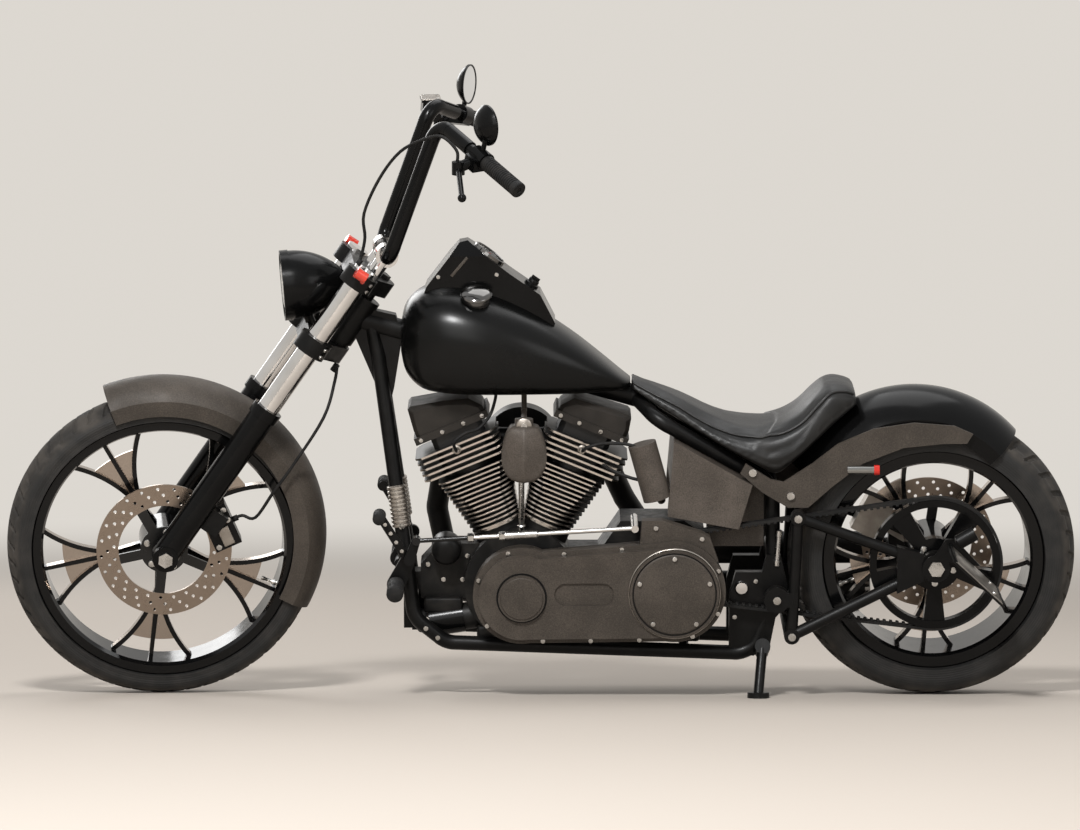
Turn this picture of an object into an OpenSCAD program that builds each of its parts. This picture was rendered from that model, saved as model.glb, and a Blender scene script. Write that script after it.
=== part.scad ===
// Long, low V-twin cruiser motorcycle, parked on its side stand.
// Millimetres. Front is -X, the rider's left is -Y, up is +Z.
// Sub-parts are drawn upright with x = 0 midway between the axles, then leaned on the stand.

/* [Stance] */
// Lean to the left on the side stand, degrees
lean = 10; // [8:0.5:12]
// Steering turned to the left as parked, degrees
steer = 7; // [2:1:11]
// Steering head angle from vertical, degrees
rake = 35; // [33:0.5:36]
// Height of the middle of the steering head
head_z = 843; // [835:1:855]
// Distance from the steering axis to the fork legs
fork_offset = 58; // [54:1:62]

/* [Wheels] */
// Front tyre radius
front_r = 342; // [336:1:346]
// Front tyre width
front_w = 120; // [112:1:122]
// Rear tyre radius
rear_r = 316; // [310:1:320]
// Rear tyre width
rear_w = 200; // [190:1:202]
// Front axle radius
front_axle_r = 10; // [8:0.5:12]
// Rear axle radius
rear_axle_r = 12.5; // [10:0.5:14]
// Number of spoke groups in a wheel
spoke_groups = 5; // [4:1:6]

/* [Fork and bars] */
// Half distance between the fork legs
leg_y = 105; // [104:1:110]
// Fork tube radius
tube_r = 24.5; // [20:0.5:26]
// Fork lower leg radius
lower_r = 30; // [29:0.5:32]
// Handlebar tube radius
bar_r = 16; // [12.7:0.1:17]
// Handlebar rise above the risers
bar_rise = 305; // [220:5:340]
// Grip radius
grip_r = 17.5; // [16:0.5:20]
// Headlamp shell radius
lamp_r = 75; // [65:1:80]

/* [Engine] */
// Angle between the cylinders, degrees
vee = 45; // [44:1:50]
// Distance from crank centre to the cylinder base
deck = 138; // [134:1:142]
// Fins on one cylinder
fin_count = 13; // [8:1:14]
// Fin thickness
fin_t = 3.5; // [2.5:0.5:5]
// Half width of the crankcase
case_y = 70; // [60:1:71]
// Outer face of the primary case, from the middle
primary_y = 195; // [180:1:200]
// Derby cover radius
derby_r = 97; // [80:1:100]

/* [Frame] */
// Frame tube radius
rail_r = 16; // [13:0.5:16.5]
// Backbone tube radius
spine_r = 24; // [20:1:26]
// Half width of the lower frame rails
rail_y = 88; // [87:1:92]
// Middle plane of the swingarm sides
arm_y = 150; // [148:1:154]
// Exhaust header pipe radius
pipe_r = 24; // [20:1:25]

/* [Body] */
// Half width of the fuel tank at its widest
tank_w = 152; // [135:1:160]
// Half width of the saddle at its widest
seat_w = 145; // [130:1:155]
// Sheet thickness of the fenders
sheet = 3; // [2:0.5:4]
// Gap between the front tyre and its fender
fender_gap = 17; // [16:1:22]

/* [Hidden] */
$fn = 48;

// seat gap between pieces that touch on a curve, running gap of a shaft
seat_gap = 0.3;
run_gap = 0.08;

// colours
black = [0.03, 0.03, 0.035];
satin = [0.07, 0.07, 0.075];
charcoal = [0.14, 0.14, 0.14];
steel = [0.62, 0.62, 0.63];
chrome = [0.8, 0.8, 0.8];
alloy = [0.55, 0.55, 0.54];
rubber = [0.045, 0.045, 0.045];

// fork and steering
head = [-424, 0, head_z];
fork_len = (head_z + fork_offset * sin(rake) - front_r) / cos(rake);
// frame post behind the gearbox, and the room between it and the rear tyre
post_x = 495;
tyre_room = 34;
rear_axle_x = post_x + rear_r + tyre_room;
rear_pos = [rear_axle_x, 0, rear_r];
// engine: crank, barrels and heads; the tank's floor lies clear above the rocker boxes
crank = [-56, 257];
cyl_h = 150;
head_h = 88;
head_top = deck + cyl_h + head_h;
rocker_room = 77.62;
tank_floor = crank.y + head_top * cos(vee / 2) + rocker_room;

// vectors
function unit(v) = v / norm(v);
function spread(v, e) = sign(v) * pow(abs(v), e);
function rot_x(a, p) = [p.x, p.y * cos(a) - p.z * sin(a), p.y * sin(a) + p.z * cos(a)];
function rot_y(a, p) = [p.x * cos(a) + p.z * sin(a), p.y, -p.x * sin(a) + p.z * cos(a)];
function rot_z(a, p) = [p.x * cos(a) - p.y * sin(a), p.x * sin(a) + p.y * cos(a), p.z];
// a point of the steering's own frame, turned, in the upright machine
function steered_pt(p) = head + rot_y(rake, rot_z(steer, p));
function steered_dir(p) = rot_y(rake, rot_z(steer, p));
// an upright machine's point in the straight-ahead steering's own frame
function in_head(p) = rot_y(-rake, p - head);

// the two tyres touch the floor together: pitch and lift from the lowest points of both
front_pos = steered_pt([-fork_offset, 0, -fork_len]);
front_crown = 62;
rear_crown = 110;
function low(c, a, r, crown, pitch) =
    rot_y(pitch, rot_x(lean, c)).z
    - (r - crown) * sqrt(1 - pow(rot_y(pitch, rot_x(lean, a)).z, 2)) - crown;
function front_low(pitch) = low(front_pos, steered_dir([0, 1, 0]), front_r, front_crown, pitch);
function rear_low(pitch) = low(rear_pos, [0, 1, 0], rear_r, rear_crown, pitch);
function settle(pitch, turns) = turns == 0 ? pitch
    : settle(pitch - asin((front_low(pitch) - rear_low(pitch)) / 1690), turns - 1);
pitch = settle(0, 5);
lift = -rear_low(pitch);
// the origin lies under the middle of the parked machine
shift_x = 13;
shift_y = 172;
function parked_dir(p) = rot_y(pitch, rot_x(lean, p));
function parked_pt(p) = parked_dir(p) + [shift_x, shift_y, lift];

// placing
module parked() {
    translate([shift_x, shift_y, lift]) rotate([0, pitch, 0]) rotate([lean, 0, 0]) children();
}
// the steering's own frame: z along the stem, x to the rear, origin mid head
module on_fork() {
    parked() translate(head) rotate([0, rake, 0]) rotate([0, 0, steer]) children();
}
// upright coordinates carried by the steering
module on_bars() {
    on_fork() rotate([0, -rake, 0]) translate(-head) children();
}
module on_front_wheel() {
    on_fork() translate([-fork_offset, 0, -fork_len]) children();
}
module on_rear_wheel() {
    parked() translate(rear_pos) children();
}
module both_sides() {
    children();
    mirror([0, 1, 0]) children();
}
// a bar across the machine
module y_rod(x, z, r, y0, y1) {
    translate([x, y1, z]) rotate([90, 0, 0]) cylinder(r = r, h = y1 - y0);
}
// a plate drawn in side view and given a width
module y_plate(y0, y1) {
    translate([0, y1, 0]) rotate([90, 0, 0]) linear_extrude(y1 - y0) children();
}
// a round bar from one point to another
module rod(p, q, r) {
    v = q - p;
    translate(p) rotate([0, acos(v.z / norm(v)), atan2(v.y, v.x)]) cylinder(r = r, h = norm(v));
}
// a tube with round bends, its elbows a hair fuller than the straights
function corner(a, b, c) = acos(max(-1, min(1, unit(b - a) * unit(c - b))));
function set_back(pts, i, bend) = i <= 0 || i >= len(pts) - 1 ? 0
    : bend * tan(corner(pts[i - 1], pts[i], pts[i + 1]) / 2);
module elbow(a, b, c, r, bend) {
    d = unit(b - a);
    e = unit(c - b);
    inward = unit(e - (d * e) * d);
    side = cross(-inward, d);
    start = b - d * bend * tan(corner(a, b, c) / 2);
    mid = start + inward * bend;
    multmatrix([[-inward.x, d.x, side.x, mid.x], [-inward.y, d.y, side.y, mid.y],
        [-inward.z, d.z, side.z, mid.z], [0, 0, 0, 1]])
        rotate_extrude(angle = corner(a, b, c)) translate([bend, 0]) circle(r);
}
module bent_tube(pts, r, bend) {
    last = len(pts) - 1;
    for (i = [0 : last - 1]) {
        d = unit(pts[i + 1] - pts[i]);
        from = pts[i] + d * (i == 0 ? 0 : set_back(pts, i, bend) - 1.5);
        to = pts[i + 1] - d * (i == last - 1 ? 0 : set_back(pts, i + 1, bend) - 1.5);
        rod(from, to, r);
    }
    for (i = [1 : last - 1]) elbow(pts[i - 1], pts[i], pts[i + 1], r + 0.3, bend);
}
// a solid through rings of equal count
module loft(rings) {
    n = len(rings[0]);
    last = len(rings) - 1;
    sides = [for (i = [0 : last - 1], j = [0 : n - 1], k = [0, 1]) k == 0
        ? [i * n + j, (i + 1) * n + j, (i + 1) * n + (j + 1) % n]
        : [i * n + j, (i + 1) * n + (j + 1) % n, i * n + (j + 1) % n]];
    caps = [[for (j = [0 : n - 1]) j], [for (j = [n - 1 : -1 : 0]) last * n + j]];
    polyhedron([for (ring = rings, p = ring) p], concat(sides, caps), 4);
}
// smooth values between the rows of a table
function at_row(t, i) = t[max(0, min(len(t) - 1, i))];
function blend(t, u) = let (i = min(floor(u), len(t) - 2), f = u - i,
    a = at_row(t, i - 1), b = at_row(t, i), c = at_row(t, i + 1), d = at_row(t, i + 2))
    b + f * 0.5 * (c - a + f * (2 * a - 5 * b + 4 * c - d + f * (3 * (b - c) + d - a)));
// a rounded cross-section at one station: row = [x, half width, z bottom, z widest, z top]
function section(row, e_top, e_low, n, grow) = [for (j = [0 : n - 1]) let (a = 360 * (j + 0.5) / n,
    h = sin(a) > 0 ? row[4] - row[3] + grow : row[3] - row[2] + grow, e = sin(a) > 0 ? e_top : e_low)
    [row[0], (row[1] + grow) * spread(cos(a), e), row[3] + h * spread(sin(a), e)]];

// a cord swept along smooth points
function swept_ring(p, d, r, n) = let (u = unit(cross([0.31, 0.17, 0.93], d)), v = cross(d, u))
    [for (j = [0 : n - 1]) p + r * (cos(360 * j / n) * u + sin(360 * j / n) * v)];
module cord(pts, r, steps) {
    last = steps * (len(pts) - 1);
    way = [for (k = [0 : last]) blend(pts, k / steps)];
    loft([for (k = [0 : last])
        swept_ring(way[k], unit(way[min(last, k + 1)] - way[max(0, k - 1)]), r, 10)]);
}

// wheels
front_bead = front_r - 66;
front_flange = front_r - 53;
front_open = front_r - 78;
rear_bead = rear_r - 87;
rear_flange = rear_r - 73;
rear_open = rear_r - 103;
disc_band = 48;
front_disc_r = front_open - 116;
rear_disc_r = rear_open - 67;
front_seat = 44;
rear_seat = 76;
hub_r = 52;

module tyre(r, w, crown, bead, flange, seat_half, wall, side_r) {
    rotate([90, 0, 0]) rotate_extrude($fn = 120) difference() {
        intersection() {
            union() {
                translate([r - crown, 0]) circle(crown);
                for (s = [-1, 1]) translate([flange + side_r * 0.72, s * (w / 2 - side_r)]) circle(side_r);
            }
            translate([bead + seat_gap, -w / 2]) square([r, w]);
        }
        for (s = [-1, 1]) translate([flange / 2 + 0.5, s * (seat_half - seat_gap + w / 2)])
            square([flange, w], center = true);
        translate([r - crown, 0]) intersection() {
            circle(crown - wall);
            square([3 * crown, 2 * (seat_half - 14)], center = true);
        }
        translate([bead - 1, 14 - seat_half]) square([r - crown - bead + 20, 2 * (seat_half - 14)]);
    }
}
module rim_ring(open, bead, flange, seat_half) {
    edge = seat_half + 8;
    rotate([90, 0, 0]) rotate_extrude($fn = 120) polygon([[open + 5, -edge], [flange - 3, -edge],
        [flange, 3 - edge], [flange, -seat_half], [bead, -seat_half], [bead, seat_half], [flange, seat_half],
        [flange, edge - 3], [flange - 3, edge], [open + 5, edge], [open, edge - 12], [open, 12 - edge]]);
}
// one fan of three spokes: a straight one between two that curve apart, with a web between their roots
function arc_mid(a, b, r) = (a + b) / 2 + [-(b - a).y, (b - a).x] / norm(b - a)
    * sqrt(r * r - pow(norm(b - a) / 2, 2));
module fan(open, half_angle, web_r, deep, web_deep) {
    root = [hub_r + 18, 5];
    tip = (open + 2) * [cos(half_angle), sin(half_angle)];
    bow = open * 0.98;
    mid = arc_mid(root, tip, bow);
    wedge = [[hub_r - 8, 0], [open * 1.2, -open * 0.62], [open * 1.2, open * 0.62]];
    linear_extrude(deep, center = true) {
        polygon([[hub_r - 6, 13], [hub_r - 6, -13], [open * 0.5, -5.5], [open + 2, -4.5], [open + 2, 4.5],
            [open * 0.5, 5.5]]);
        for (s = [0, 1]) mirror([0, s]) intersection() {
            difference() {
                translate(mid) circle(bow + 10);
                translate(mid) circle(bow);
                circle(hub_r + 2);
            }
            polygon([[hub_r - 4, -3], [open * 1.2, -3], [open * 1.2, open * 0.62]]);
            circle(open + 2);
        }
    }
    linear_extrude(web_deep, center = true) difference() {
        intersection() {
            circle(web_r);
            polygon(wedge);
        }
        for (s = [0, 1]) mirror([0, s]) translate(mid) circle(bow + 4);
    }
}
module cast_wheel(open, bead, flange, seat_half, turn, half_angle, hub_half, bore, deep) {
    difference() {
        union() {
            rim_ring(open, bead, flange, seat_half);
            y_rod(0, 0, hub_r, -hub_half, hub_half);
            rotate([90, 0, 0]) for (k = [0 : spoke_groups - 1])
                rotate([0, 0, turn + k * 360 / spoke_groups])
                    fan(open, half_angle, open * 0.84, deep, deep / 3);
        }
        y_rod(0, 0, bore, -hub_half - 1, hub_half + 1);
    }
}
module drilled_disc(r, inner, y0, thick, bore, holes) {
    y_plate(y0, y0 + thick) difference() {
        union() {
            difference() {
                circle(r, $fn = 96);
                circle(inner, $fn = 96);
            }
            circle(hub_r);
            for (k = [0 : 4]) rotate(k * 72 + 10) translate([hub_r - 4, -11]) square([inner - hub_r + 8, 22]);
        }
        circle(bore);
        for (k = [0 : holes - 1], row = [0, 1, 2]) rotate((k + row / 3) * 360 / holes)
            translate([inner + (r - inner) * (row + 0.7) / 3.4, 0]) circle(3.6, $fn = 16);
    }
}

front_hub = 54;
rear_hub = 100;
module front_rim() {
    color(black) on_front_wheel() cast_wheel(front_open, front_bead, front_flange, front_seat, 10, 20,
        front_hub, front_axle_r + run_gap, 20);
}
module front_tyre() {
    color(rubber) on_front_wheel() tyre(front_r, front_w, front_crown, front_bead, front_flange,
        front_seat, 13, 24);
}
module front_disc() {
    color(steel) on_front_wheel() drilled_disc(front_disc_r, front_disc_r - disc_band, -front_hub - 5, 5,
        front_axle_r + 6, 24);
}
module rear_rim() {
    color(black) on_rear_wheel() cast_wheel(rear_open, rear_bead, rear_flange, rear_seat, -94, 18,
        rear_hub, rear_axle_r + run_gap, 26);
}
module rear_tyre() {
    color(rubber) on_rear_wheel() tyre(rear_r, rear_w, rear_crown, rear_bead, rear_flange, rear_seat, 14, 34);
}
module rear_disc() {
    color(steel) on_rear_wheel() drilled_disc(rear_disc_r, rear_disc_r - disc_band, rear_hub, 5,
        rear_axle_r + 6, 24);
}

// belt drive
pulley_r = rear_open - 70;
sprocket = [290, 310];
sprocket_r = 70;
belt_y = 118;
module rear_pulley() {
    color(black) on_rear_wheel() difference() {
        union() {
            y_plate(-belt_y - 13, 13 - belt_y) difference() {
                circle(pulley_r - 0.5, $fn = 96);
                circle(pulley_r - 16, $fn = 96);
            }
            y_plate(-belt_y - 10, -rear_hub) {
                circle(hub_r + 6);
                for (k = [0 : spoke_groups - 1]) rotate(-90 + k * 360 / spoke_groups) translate([hub_r, 0])
                    polygon([[0, -15], [pulley_r - 16 - hub_r + 4, -24], [pulley_r - 16 - hub_r + 4, 24],
                        [0, 15]]);
            }
        }
        y_rod(0, 0, rear_axle_r + 4, -belt_y - 20, -rear_hub + 1);
    }
}
module belt_line(grow) {
    hull() {
        translate([rear_axle_x, rear_r]) circle(pulley_r + grow, $fn = 96);
        translate(sprocket) circle(sprocket_r + grow, $fn = 96);
    }
}
module drive_belt() {
    color(rubber) parked() y_plate(-belt_y - 11, 11 - belt_y) difference() {
        belt_line(6);
        belt_line(0);
    }
}

// chassis
rail_low = 134;
rail_back = 108;
post_y = 78;
rail_knee = [240, 630];
rail_end = [492, 486];
rail_slope = atan((rail_knee.y - rail_end.y) / (rail_end.x - rail_knee.x));
// height of the sloping seat rails at a station
function rail_z(x) = rail_knee.y - (x - rail_knee.x) * (rail_knee.y - rail_end.y)
    / (rail_end.x - rail_knee.x);
spine = [[-385, tank_floor + 151], [205, tank_floor - 18]];
function spine_z(x) = spine[0].y + (x - spine[0].x) * (spine[1].y - spine[0].y) / (spine[1].x - spine[0].x);
stem_r = 14;
neck_r = 33;
neck_half = 55;
pivot = [500, 243];
mount_tube = [-301, 260];
neck_plate = 16;
// side view of the plates that carry the swingarm's pivot
pivot_plate = [[398, 112], [452, 104], [488, 128], [500, 190], [522, 215], [526, 262], [510, 330],
    [480, 330], [470, 292], [412, 292], [398, 240]];
stand_pivot = [470, -128, 128];
stand_axis = unit([0, -0.89, 0.454]);
strut_y = 118;
peg = [-330, 275];

module frame() {
    color(black) parked() difference() {
        union() {
            translate(head) rotate([0, rake, 0]) translate([0, 0, -neck_half])
                cylinder(r = neck_r, h = 2 * neck_half);
            rod([spine[0].x - 20, 0, spine_z(spine[0].x - 20)], [spine[1].x, 0, spine[1].y], spine_r);
            both_sides() {
                bent_tube([[-386, 4, spine_z(-386) + 3], [-368, 14, 756], [-292, rail_y, 190],
                    [-222, rail_y, rail_low],
                    [450, rail_y, rail_back], [post_x, post_y, 240], [rail_end.x, post_y, rail_end.y],
                    [rail_knee.x, rail_y, rail_knee.y], [190, 0, spine_z(190)]], rail_r, 55);
                y_rod(pivot.x, pivot.y, 20, post_y, arm_y - 15);
                y_rod(438, rail_z(438), 11, rail_y - 6, strut_y);
                y_rod(peg.x + 4, peg.y, 13, 70, 128);
            }
            y_plate(-neck_plate, neck_plate) polygon([[-418, 800], [-400, 866], [-330, 850], [-316, 800],
                [-334, 690], [-346, 640], [-372, 690]]);
            both_sides() y_plate(rail_y - 14, rail_y + 10) polygon(pivot_plate);
            y_rod(mount_tube.x, mount_tube.y, 12, -rail_y + 8, rail_y - 8);
            for (x = [112, 300]) {
                y_rod(x, 118, 11, -rail_y, rail_y);
                translate([x - 16, -20, 120]) cube([32, 40, 30]);
            }
            y_rod(post_x - 2, 330, 13, -post_y, post_y);
            y_rod(-276, 165, 9, -rail_y, rail_y);
            translate(stand_pivot) rotate([0, acos(stand_axis.z), atan2(stand_axis.y, stand_axis.x)])
                translate([0, 0, -38]) cylinder(r = 15, h = 38);
        }
        translate(head) rotate([0, rake, 0]) translate([0, 0, -neck_half - 1])
            cylinder(r = stem_r + run_gap, h = 2 * neck_half + 2);
    }
}
module swingarm() {
    color(black) parked() difference() {
        union() {
            both_sides() {
                rod([533, arm_y, 162], [rear_axle_x - 42, arm_y, rear_r - 19], 13);
                rod([545, arm_y, 425], [rear_axle_x - 42, arm_y, rear_r + 16], 12);
                rod([533, arm_y, 162], [545, arm_y, 425], 12.5);
                y_rod(545, 425, 16, arm_y - 14, arm_y + 14);
                y_plate(arm_y - 14, arm_y + 14) translate([rear_axle_x, rear_r])
                    polygon([[-84, -58], [-26, -30], [-26, 30], [-84, 46]]);
                y_plate(arm_y - 11, arm_y + 11) translate([rear_axle_x, rear_r]) {
                    circle(34);
                    translate([-60, -24]) square([60, 48]);
                }
                y_plate(arm_y - 15, arm_y + 12) translate(pivot) {
                    circle(28);
                    translate([0, -16]) square([45, 32]);
                }
            }
            y_rod(533, 162, 17, -arm_y - 14, arm_y + 14);
        }
        y_rod(rear_axle_x, rear_r, rear_axle_r + 0.1, -arm_y - 20, arm_y + 20);
    }
}
module rear_axle() {
    color(steel) parked() {
        y_rod(rear_axle_x, rear_r, rear_axle_r, -arm_y - 36, arm_y + 22);
        for (s = [0, 1]) mirror([0, s, 0])
            translate([rear_axle_x, -arm_y - 11, rear_r]) rotate([90, 0, 0])
                cylinder(r = 20, h = 10, $fn = 6);
        translate([rear_axle_x, -arm_y - 28, rear_r]) rotate([90, 0, 0]) cylinder(r = 18, h = 6, $fn = 6);
        y_rod(rear_axle_x, rear_r, rear_axle_r + 6, rear_hub + 5 + seat_gap, arm_y - 11);
        y_rod(rear_axle_x, rear_r, rear_axle_r + 6, -arm_y + 11, -belt_y - 13.4);
    }
}

// engine
clutch = [276, 266];
function bank(s) = s * vee / 2;
// a cylinder's own frame: z up its axis, x to the rear
module on_bank(s) {
    parked() translate([crank.x, 0, crank.y]) rotate([0, bank(s), 0]) children();
}
module engine_cases() {
    color(alloy) difference() {
        union() {
            parked() {
                y_rod(crank.x, crank.y, 126, -case_y, case_y);
                y_rod(crank.x, crank.y, 72, -136, 0);
                y_plate(-case_y + 4, case_y - 4) polygon([[0, 150], [330, 150], [345, 175], [345, 370],
                    [300, 400], [160, 400], [112, 330], [-10, 330]]);
                y_rod(sprocket.x, sprocket.y, 24, -belt_y - 14, 0);
                translate([mount_tube.x + 6, -24, crank.y - 18]) cube([140, 48, 40]);
                y_plate(-40, 40) polygon([[-278, 222], [-278, 300], [-236, 345], [-150, 345], [-120, 222]]);
                rod([-130, -34, 188.3], [-183.7, -34, 180.05], 30);
            }
            for (s = [-1, 1]) on_bank(s) cylinder(r = 58, h = deck);
        }
        parked() y_rod(mount_tube.x, mount_tube.y, 12 + seat_gap, -40, 40);
    }
}
module finned_cylinder(s) {
    difference() {
        fin_stack(s);
        pushrod_tunnel(s);
    }
}
module fin_stack(s) {
    translate([0, 0, deck]) cylinder(r = 56, h = cyl_h);
    for (k = [0 : fin_count - 1]) {
        f = k / (fin_count - 1);
        w = 55 + 27 * f;
        translate([0, 0, deck + 8 + k * (cyl_h - 12) / fin_count]) linear_extrude(fin_t) intersection() {
            square([2 * w, 150], center = true);
            circle(w + 15);
        }
    }
    translate([0, 0, deck + cyl_h]) {
        linear_extrude(head_h) intersection() {
            square([120, 118], center = true);
            circle(76);
        }
        for (k = [0 : 4]) translate([s * 12, 0, 4 + k * 13]) linear_extrude(fin_t + 1) intersection() {
            square([190, 156], center = true);
            circle(112);
        }
    }
}
module front_cylinder() {
    color(satin) on_bank(-1) finned_cylinder(-1);
}
module rear_cylinder() {
    color(satin) on_bank(1) finned_cylinder(1);
}
// rocker boxes: outer height of each, across and along its cylinder's axis
rocker_rows = [[-1, 84], [1, 62]];
module rocker_profile(rise, cut) {
    polygon([[-85 + cut, 0], [-86 + cut, 30], [-80 + cut, rise - 4 - cut], [-72 + cut, rise - cut],
        [0, rise - 16 - cut], [52 - cut, 52 - cut], [74 - cut, 26], [76 - cut, 0]]);
}
module rocker_boxes() {
    color(charcoal) for (row = rocker_rows) on_bank(row[0]) mirror([row[0] > 0 ? 1 : 0, 0, 0])
        translate([0, 0, head_top]) {
        y_plate(-71, 71) polygon([[-92, 0], [-92, 16], [80, 16], [80, 0]]);
        hull() {
            y_plate(-66, 66) rocker_profile(row[1], 9);
            y_plate(-56, 56) rocker_profile(row[1], 0);
        }
    }
}
module cam_cover() {
    color(chrome) {
        parked() {
            y_rod(crank.x, crank.y, 92, case_y, case_y + 26);
            y_rod(crank.x + 6, crank.y + 4, 60, case_y + 25.5, case_y + 36);
            y_plate(case_y, case_y + 22) translate([crank.x, crank.y]) {
                translate([-70, 20]) square([140, 92]);
            }
        }
        for (s = [-1, 1]) on_bank(s) pushrods(s);
    }
}
// two pushrod tubes of one bank, from the lifter block up to the rocker box
rod_foot = [case_y + 14, 92];
rod_tip = [60, head_top - 0.9];
module pushrods(s) {
    for (k = [-1, 1]) {
        foot = [-s * 8 + k * 15, rod_foot.x, rod_foot.y];
        tip = [-s * 14 + k * 21, rod_tip.x, rod_tip.y];
        rod(foot, tip, 7.5);
        rod(foot, foot + 0.2 * (tip - foot), 11);
    }
}
// the notch in the fins that the pushrod tubes run through
module pushrod_tunnel(s) {
    inner = 12.5;
    mirror([s < 0 ? 1 : 0, 0, 0]) translate([-45, 0, 0]) rotate([90, 0, 90]) linear_extrude(62)
        polygon([[rod_foot.x - inner, rod_foot.y], [rod_tip.x - inner + 3, head_top + 2], [130, head_top + 2],
            [130, rod_foot.y]]);
}
module primary_shape() {
    translate(crank) circle(106);
    translate(clutch) circle(112);
    polygon([[crank.x - 60, crank.y + 87], [clutch.x + 10, clutch.y + 111.5], [clutch.x + 20, clutch.y - 110],
        [crank.x - 10, crank.y - 105]]);
}
module primary_case() {
    color(charcoal) parked() {
        y_plate(-primary_y + 18, -136) primary_shape();
        y_plate(-primary_y + 27, -136) polygon([[200, 360], [206, 422], [250, 422], [335, 395], [354, 384],
            [372, 330]]);
        difference() {
            y_plate(-primary_y, -primary_y + 18.5) {
                translate(crank) circle(94);
                translate(clutch) circle(101);
                polygon([[crank.x - 50, crank.y + 79], [clutch.x + 10, clutch.y + 100.5],
                    [clutch.x + 20, clutch.y - 99], [crank.x - 10, crank.y - 93]]);
            }
            y_plate(-primary_y - 1, -primary_y + 5) {
                for (x = [40, 120]) translate([x, 264]) circle(25);
                translate([40, 239]) square([80, 50]);
            }
        }
    }
}
module primary_covers() {
    color(charcoal) parked() {
        y_rod(clutch.x, clutch.y, derby_r, -primary_y - 8, -primary_y);
        y_rod(crank.x, crank.y, 51, -primary_y - 9, -primary_y);
    }
}
module oil_filter() {
    color(black) parked() {
        rod([-184, -34, 180], [-258, -34, 168.7], 34);
    }
}
module regulator() {
    color(black) parked() {
        translate([-297.3, -62, 156]) cube([12, 124, 80]);
        for (k = [0 : 6]) translate([-315.3, -60 + k * 19, 160]) cube([19, 6, 72]);
    }
}
horn_at = [-50, -118, 562];
// half widths of the horn's cover at heights from its middle
horn_rows = [[-61, 0], [-58, 20], [-46, 37], [-20, 48], [10, 48], [36, 42], [56, 33], [62, 24], [64, 0]];
function horn_edge(u) = let (r = u <= 8 ? blend(horn_rows, u) : blend(horn_rows, 16 - u)) [u <= 8 ? r[1]
    : -r[1], r[0]];
module horn() {
    rings = [[22, 1], [-22, 1], [-31, 0.96], [-38, 0.86], [-43, 0.7], [-46, 0.45], [-47, 0.2]];
    color(charcoal) parked() {
        translate(horn_at) loft([for (ring = rings) [for (k = [0 : 31]) let (e = horn_edge((k + 0.5) / 2))
            [e.x * ring[1], ring[0], e.y * ring[1]]]]);
        translate(horn_at + [0, 4, 50]) cylinder(r = 20, h = 26);
        bent_tube([[-50, -112, 628], [-50, -30, 640], [-50, 0, 700],
            [-50, 0, spine_z(-50) - spine_r / 0.961 - 1.8]],
            6, 14);
    }
}
module coil_can() {
    color(satin) parked() {
        rod([206, -122, 584], [240, -122, 462], 31);
        rod([234, -122, 484], [250, -86, 450], 9);
    }
}
module air_cleaner() {
    color(satin) parked() {
        y_rod(crank.x, 540, 84, 95, 150);
        y_rod(crank.x, 540, 60, 149, 158);
    }
    color(satin) difference() {
        parked() {
            y_rod(crank.x, 566, 25, -20, 96);
            rod([crank.x - 70, 10, 576], [crank.x + 70, 10, 576], 19);
        }
        for (s = [-1, 1]) on_bank(s) translate([0, 0, deck]) linear_extrude(cyl_h + head_h + 4)
            intersection() {
            square([166 + 2 * seat_gap, 156 + 2 * seat_gap], center = true);
            circle(98 + seat_gap);
        }
    }
}

// the exhaust ports on the heads' right faces
port = deck + cyl_h + 26;
port_y = 78 + seat_gap;
function port_x(s) = crank.x + s * (port * sin(vee / 2) + 43);
port_z = crank.y + port * cos(vee / 2);
// exhaust on the right: two header pipes that run into open-ended silencers
module pipe(pts, silencer_from, silencer_r) {
    last = len(pts) - 1;
    difference() {
        union() {
            bent_tube(pts, pipe_r, 45);
            rod(silencer_from, pts[last], silencer_r);
            rod(silencer_from - [30, 0, 0], silencer_from + [1, 0, 0], pipe_r + 5);
        }
        rod(pts[last] - [260, 0, 0], pts[last] + [10, 0, 0], silencer_r - 4);
    }
}
module exhaust_pipes() {
    color(black) parked() {
        pipe([[port_x(-1), port_y, port_z], [port_x(-1), 142, port_z], [-246, 184, 380], [-206, 190, 184],
            [300, 212, 190], [720, 212, 190]], [190, 212, 190], 36);
        pipe([[port_x(1), port_y, port_z], [port_x(1), 142, port_z], [172, 190, 400], [240, 212, 290],
            [420, 212, 280], [760, 212, 280]], [340, 212, 280], 36);
    }
}

// body
// stations of the tank: x, share of the half width, bottom, widest line and top above the tank's floor
tank_rows = [[-318, 0.34, 88, 120, 152], [-306, 0.56, 44, 119, 194], [-270, 0.84, 12, 114, 226],
    [-210, 0.97, 2, 104, 239], [-130, 1, 0, 93, 224], [-40, 0.93, 0, 78, 186], [50, 0.78, 0, 58, 130],
    [120, 0.6, 2, 40, 75], [162, 0.44, 5, 25, 40], [182, 0.26, 9, 18, 26]];
function tank_row(u) = let (r = blend(tank_rows, u))
    [r[0], r[1] * tank_w, tank_floor + r[2], tank_floor + r[3], tank_floor + r[4]];
module tank_body(grow) {
    loft([for (k = [0 : 36]) section(tank_row(k * 9 / 36), 0.8, 0.55, 36, grow)]);
}
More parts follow.
